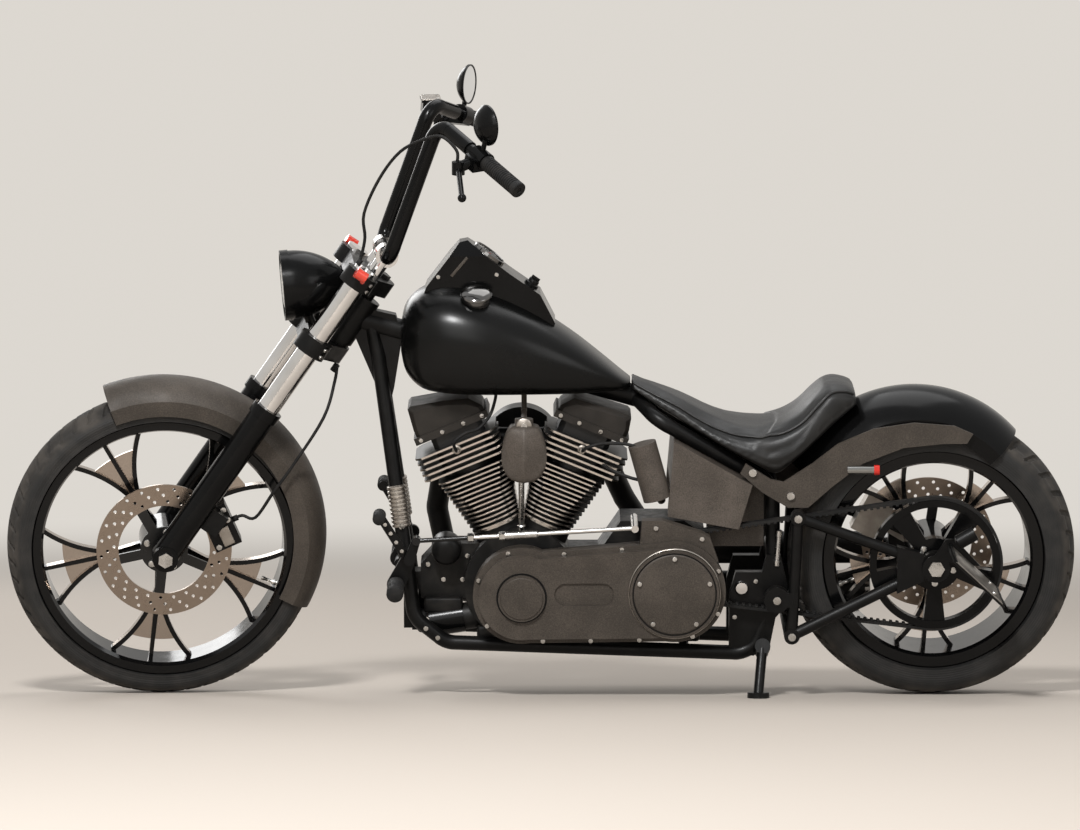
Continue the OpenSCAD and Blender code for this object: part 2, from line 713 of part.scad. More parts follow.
// the channel along the tank's floor that sits over the backbone
module tank_channel(grow) {
    y_plate(-spine_r - 4 - grow, spine_r + 4 + grow) polygon([
        [-420, spine_z(-420) + spine_r / 0.961 + seat_gap + grow],
        [220, spine_z(220) + spine_r / 0.961 + seat_gap + grow],
        [220, tank_floor - 82], [-420, tank_floor - 82]]);
}
module fuel_tank() {
    color(black) parked() difference() {
        tank_body(0);
        tank_channel(0);
        difference() {
            loft([for (k = [0 : 14]) section(tank_row(0.9 + k * 7 / 14), 0.8, 0.55, 20, -5)]);
            tank_channel(4);
        }
        at_filler() translate([0, 0, -40]) cylinder(r = 30, h = 100);
    }
}
filler = [-153, -88, tank_floor + 213];
module at_filler() {
    translate(filler) rotate([26, 0, 0]) children();
}
module filler_cap() {
    color(chrome) parked() at_filler() {
        translate([0, 0, -10]) cylinder(r = 29.7, h = 18);
        translate([0, 0, 7.6]) cylinder(r = 34, h = 8);
    }
}
module console() {
    color(black) parked() difference() {
        translate([0, 0, tank_floor]) y_plate(-52, 52) polygon([[-276, 198], [-262, 236], [-190, 330],
            [-172, 334], [-80, 264], [-14, 218], [18, 156], [10, 118], [-276, 118]]);
        tank_body(seat_gap);
        for (s = [0, 1]) mirror([0, s, 0]) translate([-300, -52, tank_floor + 303]) rotate([-45, 0, 0])
            translate([0, -40, -22])
            cube([340, 40, 80]);
    }
}
fender_mid = [rear_axle_x - 40, rear_r + 74];
fender_r = rear_r - 19;
fender_half = 110;
seat_rows = [[182.5, 0.36, 24, 696, 716], [230, 0.5, 24, 672, 694], [290, 0.66, 24, 640, 668],
    [368, 0.86, 24, 596, 630],
    [436, 0.97, 24, 570, 612], [494, 1, 24, 566, 616], [545, 0.97, 24, 580, 642], [584, 0.9, 24, 612, 680],
    [616, 0.82, 24, 646, 706], [652, 0.74, 24, 664, 704], [676, 0.66, 24, 668, 690]];
function seat_low(x) = x < 260 ? rail_z(x) + 29 - (x - 180) * 0.075 : x < 500 ? rail_z(x) + 23
    : rail_z(500) + 23 + (x - 500) * 0.9;
function seat_row(u) = let (r = blend(seat_rows, u)) [r[0], r[1] * seat_w, seat_low(r[0]), r[3], r[4]];
// all that lies within the rear fender's outer face
module fender_inside(grow) {
    translate([fender_mid.x, 0, fender_mid.y]) rotate([90, 0, 0]) rotate_extrude($fn = 96)
        fender_outline(fender_r + grow, fender_half + grow, 10);
}
module fender_outline(r, half, low_r) {
    crown = half * 1.25;
    intersection() {
        union() {
            translate([r - crown, 0]) circle(crown);
            translate([low_r, -half]) square([r - crown - low_r + 1, 2 * half]);
        }
        translate([low_r, -half]) square([r, 2 * half]);
    }
}
module seat() {
    color(black) parked() difference() {
        loft([for (k = [0 : 34]) section(seat_row(k * 10 / 34), 0.6, 0.5, 28, 0)]);
        fender_inside(sheet + seat_gap);
        rod([spine[0].x, 0, spine_z(spine[0].x)], [spine[1].x + 2, 0, spine[1].y], spine_r + 2);
    }
}
module rear_fender() {
    color(black) parked() translate([fender_mid.x, 0, fender_mid.y]) rotate([90, 0, 0])
        rotate([0, 0, 42]) rotate_extrude(angle = 112, $fn = 120) difference() {
            fender_outline(fender_r + sheet, fender_half + sheet, fender_r - 83);
            fender_outline(fender_r, fender_half, fender_r - 97);
        }
}
strut_line = [[432, 540], [486, 505], [514, 499], [577, 540], [632, 583], [709, 616], [797, 629],
    [885, 622], [925, 604],
    [912, 583], [863, 583], [775, 574], [687, 540], [621, 489], [568, 442], [524, 442], [468, 476],
        [420, 518]];
module fender_struts() {
    color(charcoal) parked() both_sides() {
        y_plate(strut_y, strut_y + 9) polygon(strut_line);
        y_rod(760, 600, 12, fender_half + sheet, strut_y + 1);
        y_rod(880, 603, 12, fender_half + sheet, strut_y + 1);
    }
}
// small chromed lamps on the outer faces of the struts
module rear_signals() {
    color(chrome) parked() both_sides() {
        y_rod(664, 528, 5, strut_y + 9, strut_y + 21);
        translate([652, strut_y + 21, 528]) rotate([0, 90, 0]) {
            cylinder(r = 9, h = 58);
            translate([0, 0, 57.5]) cylinder(r = 11, h = 12);
        }
    }
}
under_rail = (rail_r + seat_gap) / cos(rail_slope);
module oil_tank() {
    color(charcoal) parked() y_plate(-58, 58) polygon([[352, 342], [474, 342], [474, 476], [452, 487],
        [420, 487], [352, 420]]);
    color(charcoal) parked() difference() {
        union() {
            y_plate(-138, 138) polygon([[262, 425], [417, 396], [446, rail_z(446) - under_rail],
                [276, rail_z(276) - under_rail]]);
        }
        y_plate(-100, 100) polygon([[200, 300], [405, 300], [405, 470], [200, 500]]);
        y_plate(-133, 133) polygon([[200, 300], [470, 300], [470, 432], [200, 396]]);
        rod([206, -122, 584], [240, -122, 462], 31 + seat_gap);
    }
}
module side_plate() {
    color(satin) parked() {
        y_plate(-arm_y - 27.7, -arm_y - 21.3) {
            translate([rear_axle_x, rear_r]) difference() {
                circle(30);
                circle(rear_axle_r + seat_gap);
            }
            polygon([[rear_axle_x - 4, rear_r + 29], [rear_axle_x + 26, rear_r + 14],
                [rear_axle_x + 96, rear_r + 6],
                [rear_axle_x + 40, rear_r + 66], [rear_axle_x + 20, rear_r + 66]]);
        }
        translate([rear_axle_x + 79, -arm_y - 22 - 90, rear_r + 4]) rotate([0, 43, 0])
            cube([150, 180, 4], center = true);
        translate([rear_axle_x + 44, -arm_y - 60, rear_r + 66]) rotate([0, 60, 0]) cylinder(r = 16, h = 42);
        y_rod(rear_axle_x + 44, rear_r + 66, 6, -arm_y - 60, -arm_y - 24);
    }
}
lever = [peg.x + 30, peg.y + 60];
link = [peg.x + 46, peg.y + 106];
module foot_controls() {
    color(black) parked() {
        both_sides() {
            y_plate(128, 138) hull() {
                translate(peg) circle(20);
                translate(lever) circle(16);
            }
            y_rod(peg.x, peg.y, 15, 137, 236);
            y_rod(lever.x, lever.y, 10, 137, 160);
            rod([lever.x - 4, 150, lever.y], [lever.x - 64, 158, lever.y + 100], 8);
            y_rod(lever.x - 64, lever.y + 100, 11, 150, 206);
        }
        y_plate(-168, -159) hull() {
            translate(lever) circle(12);
            translate(link) circle(9);
        }
    }
}
module shift_rod() {
    color(chrome) parked() {
        y_rod(link.x, link.y, 9, -186, -168);
        rod([link.x, -178, link.y], [190, -178, 408], 5);
        y_rod(190, 408, 8, -188, -60);
        translate([190, -62, 400.2]) cylinder(r = 8, h = 8);
    }
}
module rear_caliper() {
    color(alloy) parked() difference() {
        union() {
            translate([rear_axle_x, 0, rear_r]) rotate([0, 28, 0])
                translate([-rear_disc_r - 24, rear_hub - 24, -48])
                cube([64, 54, 96]);
            y_plate(rear_hub + 16, rear_hub + 30) translate([rear_axle_x, rear_r]) hull() {
                circle(30);
                rotate(152) translate([rear_disc_r - 28, 0]) circle(24);
            }
        }
        y_rod(rear_axle_x, rear_r, rear_disc_r + 5, rear_hub - 5, rear_hub + 10);
        y_rod(rear_axle_x, rear_r, rear_disc_r - 40, rear_hub - 60, rear_hub + 10);
        y_rod(rear_axle_x, rear_r, rear_axle_r + 6 + seat_gap, rear_hub, rear_hub + 60);
    }
}

// fork and steering
lower_z = -82;
upper_z = 94;
clamp_half = 19;
axle_z = -fork_len;
lower_top = axle_z + 398;
module fork_tubes() {
    color(chrome) on_fork() both_sides() translate([-fork_offset, leg_y, lower_top - 60])
        cylinder(r = tube_r, h = upper_z + 26 - lower_top + 60);
}
module fork_lowers() {
    color(black) on_fork() both_sides() translate([-fork_offset, leg_y, 0]) difference() {
        union() {
            translate([0, 0, axle_z - 4]) cylinder(r = lower_r, h = lower_top - axle_z + 4);
            translate([0, 0, lower_top - 22]) cylinder(r = lower_r + 4, h = 24);
            translate([0, 0, axle_z]) y_rod(0, 0, 28, -30, 32);
            for (drop = [32, 10]) translate([0, 0, axle_z + front_r - drop])
                y_rod(0, 0, 8, front_fender_half + sheet - leg_y, 0);
        }
        translate([0, 0, lower_top - 61]) cylinder(r = tube_r + 0.1, h = 70);
        translate([0, 0, axle_z]) y_rod(0, 0, front_axle_r + 0.1, -60, 60);
    }
}
module front_axle() {
    color(steel) on_fork() translate([-fork_offset, 0, axle_z]) {
        y_rod(0, 0, front_axle_r, -leg_y - 34, leg_y + 34);
        for (s = [0, 1]) mirror([0, s, 0]) {
            translate([0, -leg_y - 32, 0]) rotate([90, 0, 0]) cylinder(r = 17, h = 9, $fn = 6);
            y_rod(0, 0, front_axle_r + 5, front_hub + 5.5, leg_y - 30);
        }
    }
}
module clamp_shape() {
    difference() {
        union() {
            for (s = [-1, 1]) translate([-fork_offset, s * leg_y]) circle(tube_r + 13);
            circle(34);
            polygon([[-fork_offset - 20, -leg_y], [-fork_offset - 20, leg_y], [-fork_offset + 26, leg_y],
                [26, 22], [26, -22], [-fork_offset + 26, -leg_y]]);
        }
        for (s = [-1, 1]) translate([-fork_offset, s * leg_y]) circle(tube_r + 0.1);
    }
}
module lower_clamp() {
    color(black) on_fork() {
        translate([0, 0, lower_z - clamp_half]) linear_extrude(2 * clamp_half) clamp_shape();
        translate([0, 0, lower_z]) cylinder(r = stem_r, h = upper_z - lower_z - clamp_half);
        translate([0, 0, lower_z + clamp_half - 0.5])
            cylinder(r = neck_r - 4, h = -neck_half - lower_z - clamp_half - 0.2);
    }
    color(black) on_bars() difference() {
        rod([-510, 0, 818], [-526, 0, 862], 11);
        at_lamp() lamp_body(seat_gap);
    }
}
module upper_clamp() {
    color(black) on_fork() {
        translate([0, 0, upper_z - clamp_half]) linear_extrude(2 * clamp_half - 2) clamp_shape();
        translate([0, 0, upper_z + clamp_half - 3]) cylinder(r = 19, h = 10, $fn = 6);
    }
}
// small round signal lamps on the ends of the upper clamp
module front_signals() {
    color([0.55, 0.09, 0.04]) on_fork() both_sides()
        translate([-fork_offset, leg_y + tube_r + 13, upper_z + 8]) {
        y_rod(0, 0, 5, seat_gap, 16);
        translate([-24, 16, 10]) rotate([0, 90, 0]) cylinder(r = 12, h = 26);
    }
}
bar_mid = [-352, 0, 990];
bar_at = in_head(bar_mid);
riser_y = 40;
module risers() {
    color(chrome) on_fork() both_sides() difference() {
        union() {
            translate([bar_at.x, riser_y, upper_z + clamp_half - 2])
                cylinder(r = 17, h = bar_at.z - upper_z - clamp_half);
            translate([bar_at.x, 0, bar_at.z]) y_rod(0, 0, bar_r + 9, riser_y - 15, riser_y + 15);
        }
        translate([bar_at.x, 0, bar_at.z]) y_rod(0, 0, bar_r + 0.1, 0, 100);
    }
}
bar_knee = bar_mid + [bar_rise * 0.36, 97, bar_rise];
bar_end = bar_knee + [150, 245, -100];
grip_dir = unit(bar_end - bar_knee);
grip_len = 122;
thin_r = 12.7;
module handlebar() {
    color(black) on_bars() {
        bent_tube([[bar_knee.x, -bar_knee.y, bar_knee.z] + [grip_dir.x, -grip_dir.y, grip_dir.z] * 120,
            [bar_knee.x, -bar_knee.y, bar_knee.z], bar_mid - [0, 93, 0], bar_mid + [0, 93, 0], bar_knee,
            bar_knee + grip_dir * 120], bar_r, 36);
        both_sides() rod(bar_knee + grip_dir * 119, bar_end - grip_dir * 4, thin_r);
    }
}
// a frame at the bar's outer part: z outward along the grip, origin at the bar end
module at_grip() {
    translate(bar_end) rotate([0, acos(grip_dir.z), atan2(grip_dir.y, grip_dir.x)]) children();
}
module grips() {
    color(rubber) on_bars() both_sides() at_grip() difference() {
        translate([0, 0, -grip_len]) cylinder(r = grip_r, h = grip_len);
        translate([0, 0, -grip_len - 1]) cylinder(r = thin_r + 0.1, h = grip_len - 2.9);
    }
}
perch = bar_end - grip_dir * (grip_len + 20);
above = unit([0, 0, 1] - grip_dir.z * grip_dir);
lever_pin = perch + [-50, 10, -17];
lever_tip = perch + [-52, 122, -58];
lever_run = lever_tip - lever_pin;
// switch housing, lever bracket and ball-ended lever of each grip
module hand_controls() {
    color(black) on_bars() both_sides() difference() {
        union() {
            at_grip() translate([0, 0, -grip_len - 40.5]) cylinder(r = 21, h = 40);
            at_grip() translate([-6, -12, -grip_len - 38.5]) cube([28, 42, 36]);
            rod(perch + [-10, 2, -3], lever_pin, 12);
            translate(lever_pin - [0, 0, 15]) cylinder(r = 14, h = 28);
            rod(lever_pin, lever_tip, 6);
            translate(lever_tip) rotate([0, acos(lever_run.z
                / norm(lever_run)), atan2(lever_run.y, lever_run.x)])
                sphere(9.5);
        }
        at_grip() translate([0, 0, -grip_len - 60]) cylinder(r = thin_r + 0.1, h = 80);
    }
    color(black) on_bars() translate(lever_pin) fluid_box();
}
// the front brake's fluid box, on the right lever's bracket
module fluid_box() {
    y_plate(-28, 28) polygon([[-41, 22], [-39, 50], [0, 50], [1, 14], [-8, 6], [-30, 6]]);
    translate([-42, -30, 49]) cube([44, 60, 5]);
}
mirror_mid = perch + [8, -5, 70];
mirror_r = 44;
mirror_yaw = -25;
// round mirrors with domed backs, turned toward the rider
module mirrors() {
    color(black) on_bars() both_sides() {
        rod(perch + above * 21.3, perch + above * 46, 5.5);
        translate(mirror_mid) rotate([0, 0, mirror_yaw]) rotate([0, 90, 0]) difference() {
            intersection() {
                translate([0, 0, -20]) cylinder(r = mirror_r, h = 28);
                translate([0, 0, 32]) sphere(1.19 * mirror_r, $fn = 72);
            }
            translate([0, 0, 6]) cylinder(r = mirror_r - 3, h = 10);
        }
    }
}
// clutch cable from the left lever's bracket down to the upper clamp, and the front brake's line
line_r = 3.5;
cable_end = [-72, -72, upper_z + clamp_half - 2 + seat_gap];
brake_top = [26, -30, lower_z - clamp_half - seat_gap];
brake_end = [-fork_offset, -55, axle_z] + (front_disc_r + 16 + seat_gap) * [cos(58), 0, sin(58)];
module cables() {
    left_pin = [lever_pin.x, -lever_pin.y, lever_pin.z];
    start = in_head(left_pin + [-2, 0, 13.8]);
    color(rubber) on_fork() {
        cord([start, in_head(left_pin + [-4, 0, 38]), in_head([-246, -226, 1290]), in_head([-282, -202,
            1280]),
            in_head([-330, -152, 1243]), in_head([-372, -112, 1176]), in_head([-404, -90, 1095]),
            cable_end + [-22, -6, 62], cable_end + [-4, 0, 22], cable_end], line_r, 5);
        translate(cable_end) cylinder(r = 6, h = 16);
        cord([brake_top, brake_top + [12, -26, -30], brake_top + [32, -57, -105], brake_end + [33, -38, 183],
            brake_end + [32, -37, 108], brake_end + [36, -15, 34], brake_end + [12, -1, 19], brake_end],
                line_r, 5);
        translate(brake_top - [0, 0, 18]) cylinder(r = 7, h = 18);
        rod(brake_end, brake_end + 12 * [cos(58), 0, sin(58)], 6.5);
    }
}
lamp_at = [-568, 0, 918];
lamp_len = 122;
module at_lamp() {
    translate(lamp_at) rotate([0, 86, 0]) children();
}
module lamp_body(grow) {
    bow = 2.05 * lamp_r;
    rotate_extrude($fn = 96) intersection() {
        translate([lamp_r - bow, 10]) circle(bow + grow, $fn = 180);
        square([lamp_r + 4, lamp_len + grow]);
    }
}
module headlamp_shell() {
    color(black) on_bars() at_lamp() difference() {
        union() {
            lamp_body(0);
            rotate_extrude($fn = 96) translate([lamp_r - 6, -10]) square([8, 18]);
        }
        translate([0, 0, -11]) cylinder(r = lamp_r - 6, h = 30);
        lamp_body(-3);
    }
}
module headlamp_lens() {
    color([0.85, 0.87, 0.88]) on_bars() at_lamp() intersection() {
        translate([0, 0, -10]) cylinder(r = lamp_r - 6 - seat_gap, h = 28.7);
        translate([0, 0, 175]) sphere(190, $fn = 120);
    }
}
front_fender_half = 66;
fender_up = 18;
module front_fender_outline(r, half, low_r) {
    crown = half * 1.12;
    intersection() {
        union() {
            translate([r - crown, 0]) circle(crown);
            translate([low_r, -half]) square([r - crown - low_r + 1, 2 * half]);
        }
        translate([low_r, -half]) square([r, 2 * half]);
    }
}
module front_fender() {
    r = front_r + fender_gap;
    color(charcoal) on_front_wheel() rotate([0, -rake, 0]) translate([-2, 0, fender_up]) rotate([90, 0, 0])
        rotate([0, 0, -28])
        rotate_extrude(angle = 138, $fn = 120) difference() {
            front_fender_outline(r + sheet, front_fender_half + sheet, front_flange - 3);
            front_fender_outline(r, front_fender_half, front_flange - 9);
        }
}
module front_caliper() {
    color(black) on_fork() translate([-fork_offset, 0, axle_z]) difference() {
        union() {
            rotate([0, -58, 0]) translate([front_disc_r - 44, -front_hub - 28, -48]) cube([60, 53, 96]);
            translate([lower_r - 6, -leg_y - 8, 96]) cube([44, 44, 50]);
        }
        y_rod(0, 0, front_disc_r + 7, -front_hub - 10, -front_hub + 5);
        y_rod(0, 0, front_disc_r - 44, -front_hub - 25, -front_hub + 40);
        translate([0, -leg_y, 0]) cylinder(r = lower_r + seat_gap, h = 300);
    }
}

// side stand
stand_dir = unit([-0.1, -0.62, -0.78]);
foot_h = 8;
stand_len = (parked_pt(stand_pivot).z - foot_h) / -parked_dir(stand_dir).z;
stand_foot = stand_pivot + stand_dir * stand_len;
module side_stand() {
    color(black) {
        parked() {
            translate(stand_pivot) rotate([0, acos(stand_axis.z), atan2(stand_axis.y, stand_axis.x)])
                translate([0, 0, 0.3]) cylinder(r = 17, h = 22);
            rod(stand_pivot + stand_axis * 11, stand_foot, 11);
        }
        translate([parked_pt(stand_foot).x, parked_pt(stand_foot).y, 0]) cylinder(r = 24, h = foot_h + 4);
    }
}

frame();
swingarm();
rear_axle();
engine_cases();
front_cylinder();
rear_cylinder();
rocker_boxes();
cam_cover();
primary_case();
primary_covers();
oil_filter();
regulator();
horn();
coil_can();
air_cleaner();
exhaust_pipes();
fuel_tank();
filler_cap();
console();
seat();
oil_tank();
rear_fender();
fender_struts();
rear_signals();
side_plate();
drive_belt();
foot_controls();
shift_rod();
rear_caliper();
fork_tubes();
fork_lowers();
front_axle();
lower_clamp();
upper_clamp();
risers();
handlebar();
grips();
hand_controls();
mirrors();
front_signals();
cables();
headlamp_shell();
headlamp_lens();
front_fender();
front_caliper();
front_rim();
front_tyre();
front_disc();
rear_rim();
rear_tyre();
rear_disc();
rear_pulley();
side_stand();
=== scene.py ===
import math

import bmesh
import bpy
from mathutils import Matrix, Vector
from mathutils.kdtree import KDTree


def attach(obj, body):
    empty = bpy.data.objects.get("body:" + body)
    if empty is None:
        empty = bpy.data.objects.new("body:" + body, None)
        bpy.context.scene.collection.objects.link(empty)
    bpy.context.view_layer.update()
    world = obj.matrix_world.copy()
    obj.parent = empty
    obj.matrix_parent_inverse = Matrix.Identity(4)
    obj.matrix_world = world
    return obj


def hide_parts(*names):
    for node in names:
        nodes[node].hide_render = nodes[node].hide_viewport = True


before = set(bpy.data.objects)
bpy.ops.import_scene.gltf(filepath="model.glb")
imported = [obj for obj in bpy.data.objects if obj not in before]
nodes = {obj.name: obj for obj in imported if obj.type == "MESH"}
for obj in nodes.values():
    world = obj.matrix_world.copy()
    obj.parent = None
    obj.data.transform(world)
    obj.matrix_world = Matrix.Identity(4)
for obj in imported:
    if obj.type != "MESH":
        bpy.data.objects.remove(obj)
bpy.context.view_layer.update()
print("frame loaded:", len(nodes), "nodes")


# the machine's own frames: metres, front is -X, the rider's left is -Y
stance = {
    "lean": 10, "pitch": -0.1104, "shift": (0.013, 0.172, 0.00004),  # parked on the side stand
    "head": (-0.424, 0, 0.843), "rake": 35, "steer": 7,  # steering head
    "forkOffset": 0.058, "forkLength": 0.65222,
    "rearAxle": (0.845, 0, 0.316), "crank": (-0.056, 0, 0.257), "vee": 45,
}


def turn(axis, degrees):
    return Matrix.Rotation(math.radians(degrees), 4, axis)


def move(x, y, z):
    return Matrix.Translation((x, y, z))


upright = move(*stance["shift"]) @ turn("Y", stance["pitch"]) @ turn("X", stance["lean"])
fork = upright @ move(*stance["head"]) @ turn("Y", stance["rake"]) @ turn("Z", stance["steer"])
bars = fork @ turn("Y", -stance["rake"]) @ move(*[-c for c in stance["head"]])
frontWheel = fork @ move(-stance["forkOffset"], 0, -stance["forkLength"])
rearWheel = upright @ move(*stance["rearAxle"])
leftward = turn("X", 90)  # a piece's own z then points to the rider's left
rightward = turn("X", -90)


# the turn that points a camera or lamp along a direction
def aimAlong(look):
    return look.to_track_quat("-Z", "Y").to_euler()


# camera, at the photograph's place
view = {"place": (-0.0035, -11.896, 0.818), "aim": (-0.0035, 0.104, 0.614), "focal": 181.8,
        "sensor": 36, "reach": 500}


def setCamera():
    look = Vector(view["aim"]) - Vector(view["place"])
    bpy.ops.object.camera_add(location=view["place"], rotation=aimAlong(look))
    camera = bpy.context.object
    camera.data.lens = view["focal"]
    camera.data.sensor_width = view["sensor"]
    camera.data.clip_end = view["reach"]
    bpy.context.scene.camera = camera


setCamera()


# a socket that maths can be written on
class Wire:
    def __init__(self, tree, socket):
        self.tree, self.socket = tree, socket

    def node(self, kind, settings, inputs, out=0):
        made = self.tree.nodes.new("ShaderNode" + kind)
        for key, value in settings.items():
            setattr(made, key, value)
        for key, value in inputs.items():
            if isinstance(value, Wire):
                self.tree.links.new(value.socket, made.inputs[key])
            else:
                made.inputs[key].default_value = value
        return Wire(self.tree, made.outputs[out])

    def maths(self, operation, *others):
        return self.node("Math", {"operation": operation}, dict(enumerate((self,) + others)))

    def __add__(self, other):
        return self.maths("ADD", other)

    __radd__ = __add__

    def __rsub__(self, other):
        return (self * -1) + other

    def __mul__(self, other):
        return self.maths("MULTIPLY", other)

    __rmul__ = __mul__

    def __pow__(self, other):
        return self.maths("POWER", other)

    def __gt__(self, other):
        return self.maths("GREATER_THAN", other)

    def __lt__(self, other):
        return self.maths("LESS_THAN", other)

    def __abs__(self):
        return self.maths("ABSOLUTE")

    def between(self, low, high):  # 0 below low, 1 above high, smooth between them
        ends = {"Value": self, "From Min": low, "From Max": high}
        return self.node("MapRange", {"interpolation_type": "SMOOTHSTEP"}, ends)

    def noise(self, scale, detail=3.0):
        return self.node("TexNoise", {}, {"Vector": self, "Scale": scale, "Detail": detail})

    def mix(self, low, high):  # this wire picks between two colours
        ends = [end if isinstance(end, Wire) else colour(*end) for end in (low, high)]
        return self.node("Mix", {"data_type": "RGBA"}, {0: self, 6: ends[0], 7: ends[1]}, 2)

    def bump(self, distance, strength=1.0):
        return self.node("Bump", {}, {"Strength": strength, "Distance": distance, "Height": self})

    def inside(self, matrix):  # coordinates in a piece's own frame
        ends = {"Vector": self, "Location": matrix.translation, "Rotation": matrix.to_euler()}
        return self.node("Mapping", {"vector_type": "TEXTURE"}, ends)

    def turned(self, matrix):  # a direction in a piece's own frame
        ends = {"Vector": self, "Rotation": matrix.to_euler()}
        return self.node("Mapping", {"vector_type": "TEXTURE"}, ends)

    def split(self):
        self.node("SeparateXYZ", {}, {0: self})
        made = self.tree.nodes[-1]
        return [Wire(self.tree, socket) for socket in made.outputs]


def colour(r, g, b):
    return (r, g, b, 1.0)


finishes = {}


def makeFinish(name, fixed, paint):
    material = finishes[name] = bpy.data.materials.new(name)
    material.use_nodes = True
    tree = material.node_tree
    shader = tree.nodes["Principled BSDF"]
    for key, value in fixed.items():
        shader.inputs[key].default_value = value
    source = tree.nodes.new("ShaderNodeTexCoord")
    place, facing = Wire(tree, source.outputs["Object"]), Wire(tree, source.outputs["Normal"])
    for key, wire in paint(place, facing).items():
        tree.links.new(wire.socket, shader.inputs[key])


# painted, coated and polished finishes share one recipe: blotches of two tones, fine grain, and
# dust on what faces up
dustLook = {"tone": (0.24, 0.2, 0.165), "scale": 38, "dull": 0.3}


def coatFinish(name, look):
    def paint(place, facing):
        wear = place.noise(look["blotch"])
        if "speck" in look:  # wrinkle paint
            wear = wear * (1 - look["speck"]) + place.noise(look["grain"] / 3, 2.0) * look["speck"]
        tone = wear.between(0.35, 0.7).mix(look["tone"], look["worn"])
        level = facing.split()[2].between(0.35, 1.0)
        dust = level * place.noise(dustLook["scale"]).between(0.4, 0.75) * look["dust"]
        uneven = place.noise(look["blotch"] * 2.3).between(0.3, 0.75) * look["roughSpread"]
        return {
            "Base Color": dust.mix(tone, dustLook["tone"]),
            "Roughness": uneven + look["rough"] + dust * dustLook["dull"],
            "Normal": place.noise(look["grain"], 2.0).bump(look["bump"], 0.6),
        }
    makeFinish(name, {"Metallic": look["metal"], "Specular IOR Level": look["shine"]}, paint)


coatBase = dict(grain=900, dust=0.0, metal=0, shine=0.5, roughSpread=0.12)
coats = {
    "tankPaint": dict(
        tone=(0.002, 0.0021, 0.002), worn=(0.003, 0.003, 0.0029), blotch=6, rough=0.25,
        roughSpread=0.03, bump=0.00002, shine=0.2),
    "glossPaint": dict(
        tone=(0.002, 0.002, 0.0021), worn=(0.003, 0.003, 0.003), blotch=9, rough=0.16,
        roughSpread=0.07, grain=420, bump=0.00003, shine=0.15),
    "satinBlack": dict(
        tone=(0.003, 0.003, 0.003), worn=(0.0055, 0.0052, 0.005), blotch=22, rough=0.3, grain=700,
        bump=0.00008, dust=0.03, shine=0.16),
    "charcoalCoat": dict(
        tone=(0.033, 0.0272, 0.0218), worn=(0.068, 0.056, 0.0453), speck=0.6, blotch=14, rough=0.5,
        grain=1300, bump=0.00016, dust=0.06, metal=0.1, shine=0.3),
    "paleCharcoal": dict(
        tone=(0.046, 0.038, 0.031), worn=(0.094, 0.078, 0.065), speck=0.6, blotch=14, rough=0.48,
        grain=1300, bump=0.00016, dust=0.06, metal=0.1, shine=0.32),
    "darkCharcoal": dict(
        tone=(0.015, 0.0128, 0.0106), worn=(0.024, 0.0202, 0.0168), blotch=18, rough=0.46,
        grain=1300, bump=0.00016, dust=0.05, metal=0.1, shine=0.25),
    "castAlloy": dict(
        tone=(0.32, 0.29, 0.26), worn=(0.42, 0.39, 0.35), blotch=30, rough=0.3, roughSpread=0.16,
        grain=650, bump=0.0002, dust=0.1, metal=1),
    "darkCasting": dict(
        tone=(0.007, 0.0068, 0.0065), worn=(0.018, 0.0165, 0.0148), blotch=26, rough=0.4,
        roughSpread=0.16, grain=600, bump=0.00025, dust=0.08, metal=0.2, shine=0.22),
    "brightChrome": dict(
        tone=(0.72, 0.71, 0.7), worn=(0.62, 0.61, 0.6), blotch=12, rough=0.05, roughSpread=0.07,
        grain=300, bump=0.00001, metal=1),
    "smokedChrome": dict(
        tone=(0.2, 0.195, 0.19), worn=(0.14, 0.137, 0.133), blotch=16, rough=0.1, roughSpread=0.08,
        grain=300, bump=0.00001, metal=1),
    "brightSteel": dict(
        tone=(0.6, 0.59, 0.57), worn=(0.44, 0.43, 0.41), blotch=40, rough=0.2, roughSpread=0.15,
        grain=800, bump=0.00005, dust=0.05, metal=1),
    "heatBlack": dict(
        tone=(0.004, 0.004, 0.004), worn=(0.01, 0.009, 0.0082), blotch=10, rough=0.4,
        roughSpread=0.16, grain=500, bump=0.00012, dust=0.05, shine=0.2),
    "softRubber": dict(
        tone=(0.0055, 0.0055, 0.0055), worn=(0.011, 0.0102, 0.0094), blotch=45, rough=0.58,
        roughSpread=0.15, bump=0.0002, dust=0.06, shine=0.24),
    "mirrorGlass": dict(
        tone=(0.86, 0.87, 0.88), worn=(0.83, 0.84, 0.85), blotch=8, rough=0.01, roughSpread=0.02,
        grain=60, bump=0.000002, metal=1),
    "paleMark": dict(
        tone=(0.5, 0.48, 0.44), worn=(0.56, 0.54, 0.5), blotch=30, rough=0.5, roughSpread=0.1,
        bump=0.00004, shine=0.3),
    "gaugeFace": dict(
        tone=(0.02, 0.02, 0.022), worn=(0.03, 0.03, 0.03), blotch=60, rough=0.35, roughSpread=0.1,
        bump=0.00002),
}
for coatName, coatLook in coats.items():
    coatFinish(coatName, {**coatBase, **coatLook})


# cylinder fins: black, with the rims of the fins cut bright
finLook = {"barrel": 0.0575, "foot": 0.1455, "headFrom": 0.288, "headHalf": 0.062,
           "black": (0.004, 0.004, 0.004), "cut": (0.6, 0.55, 0.5)}


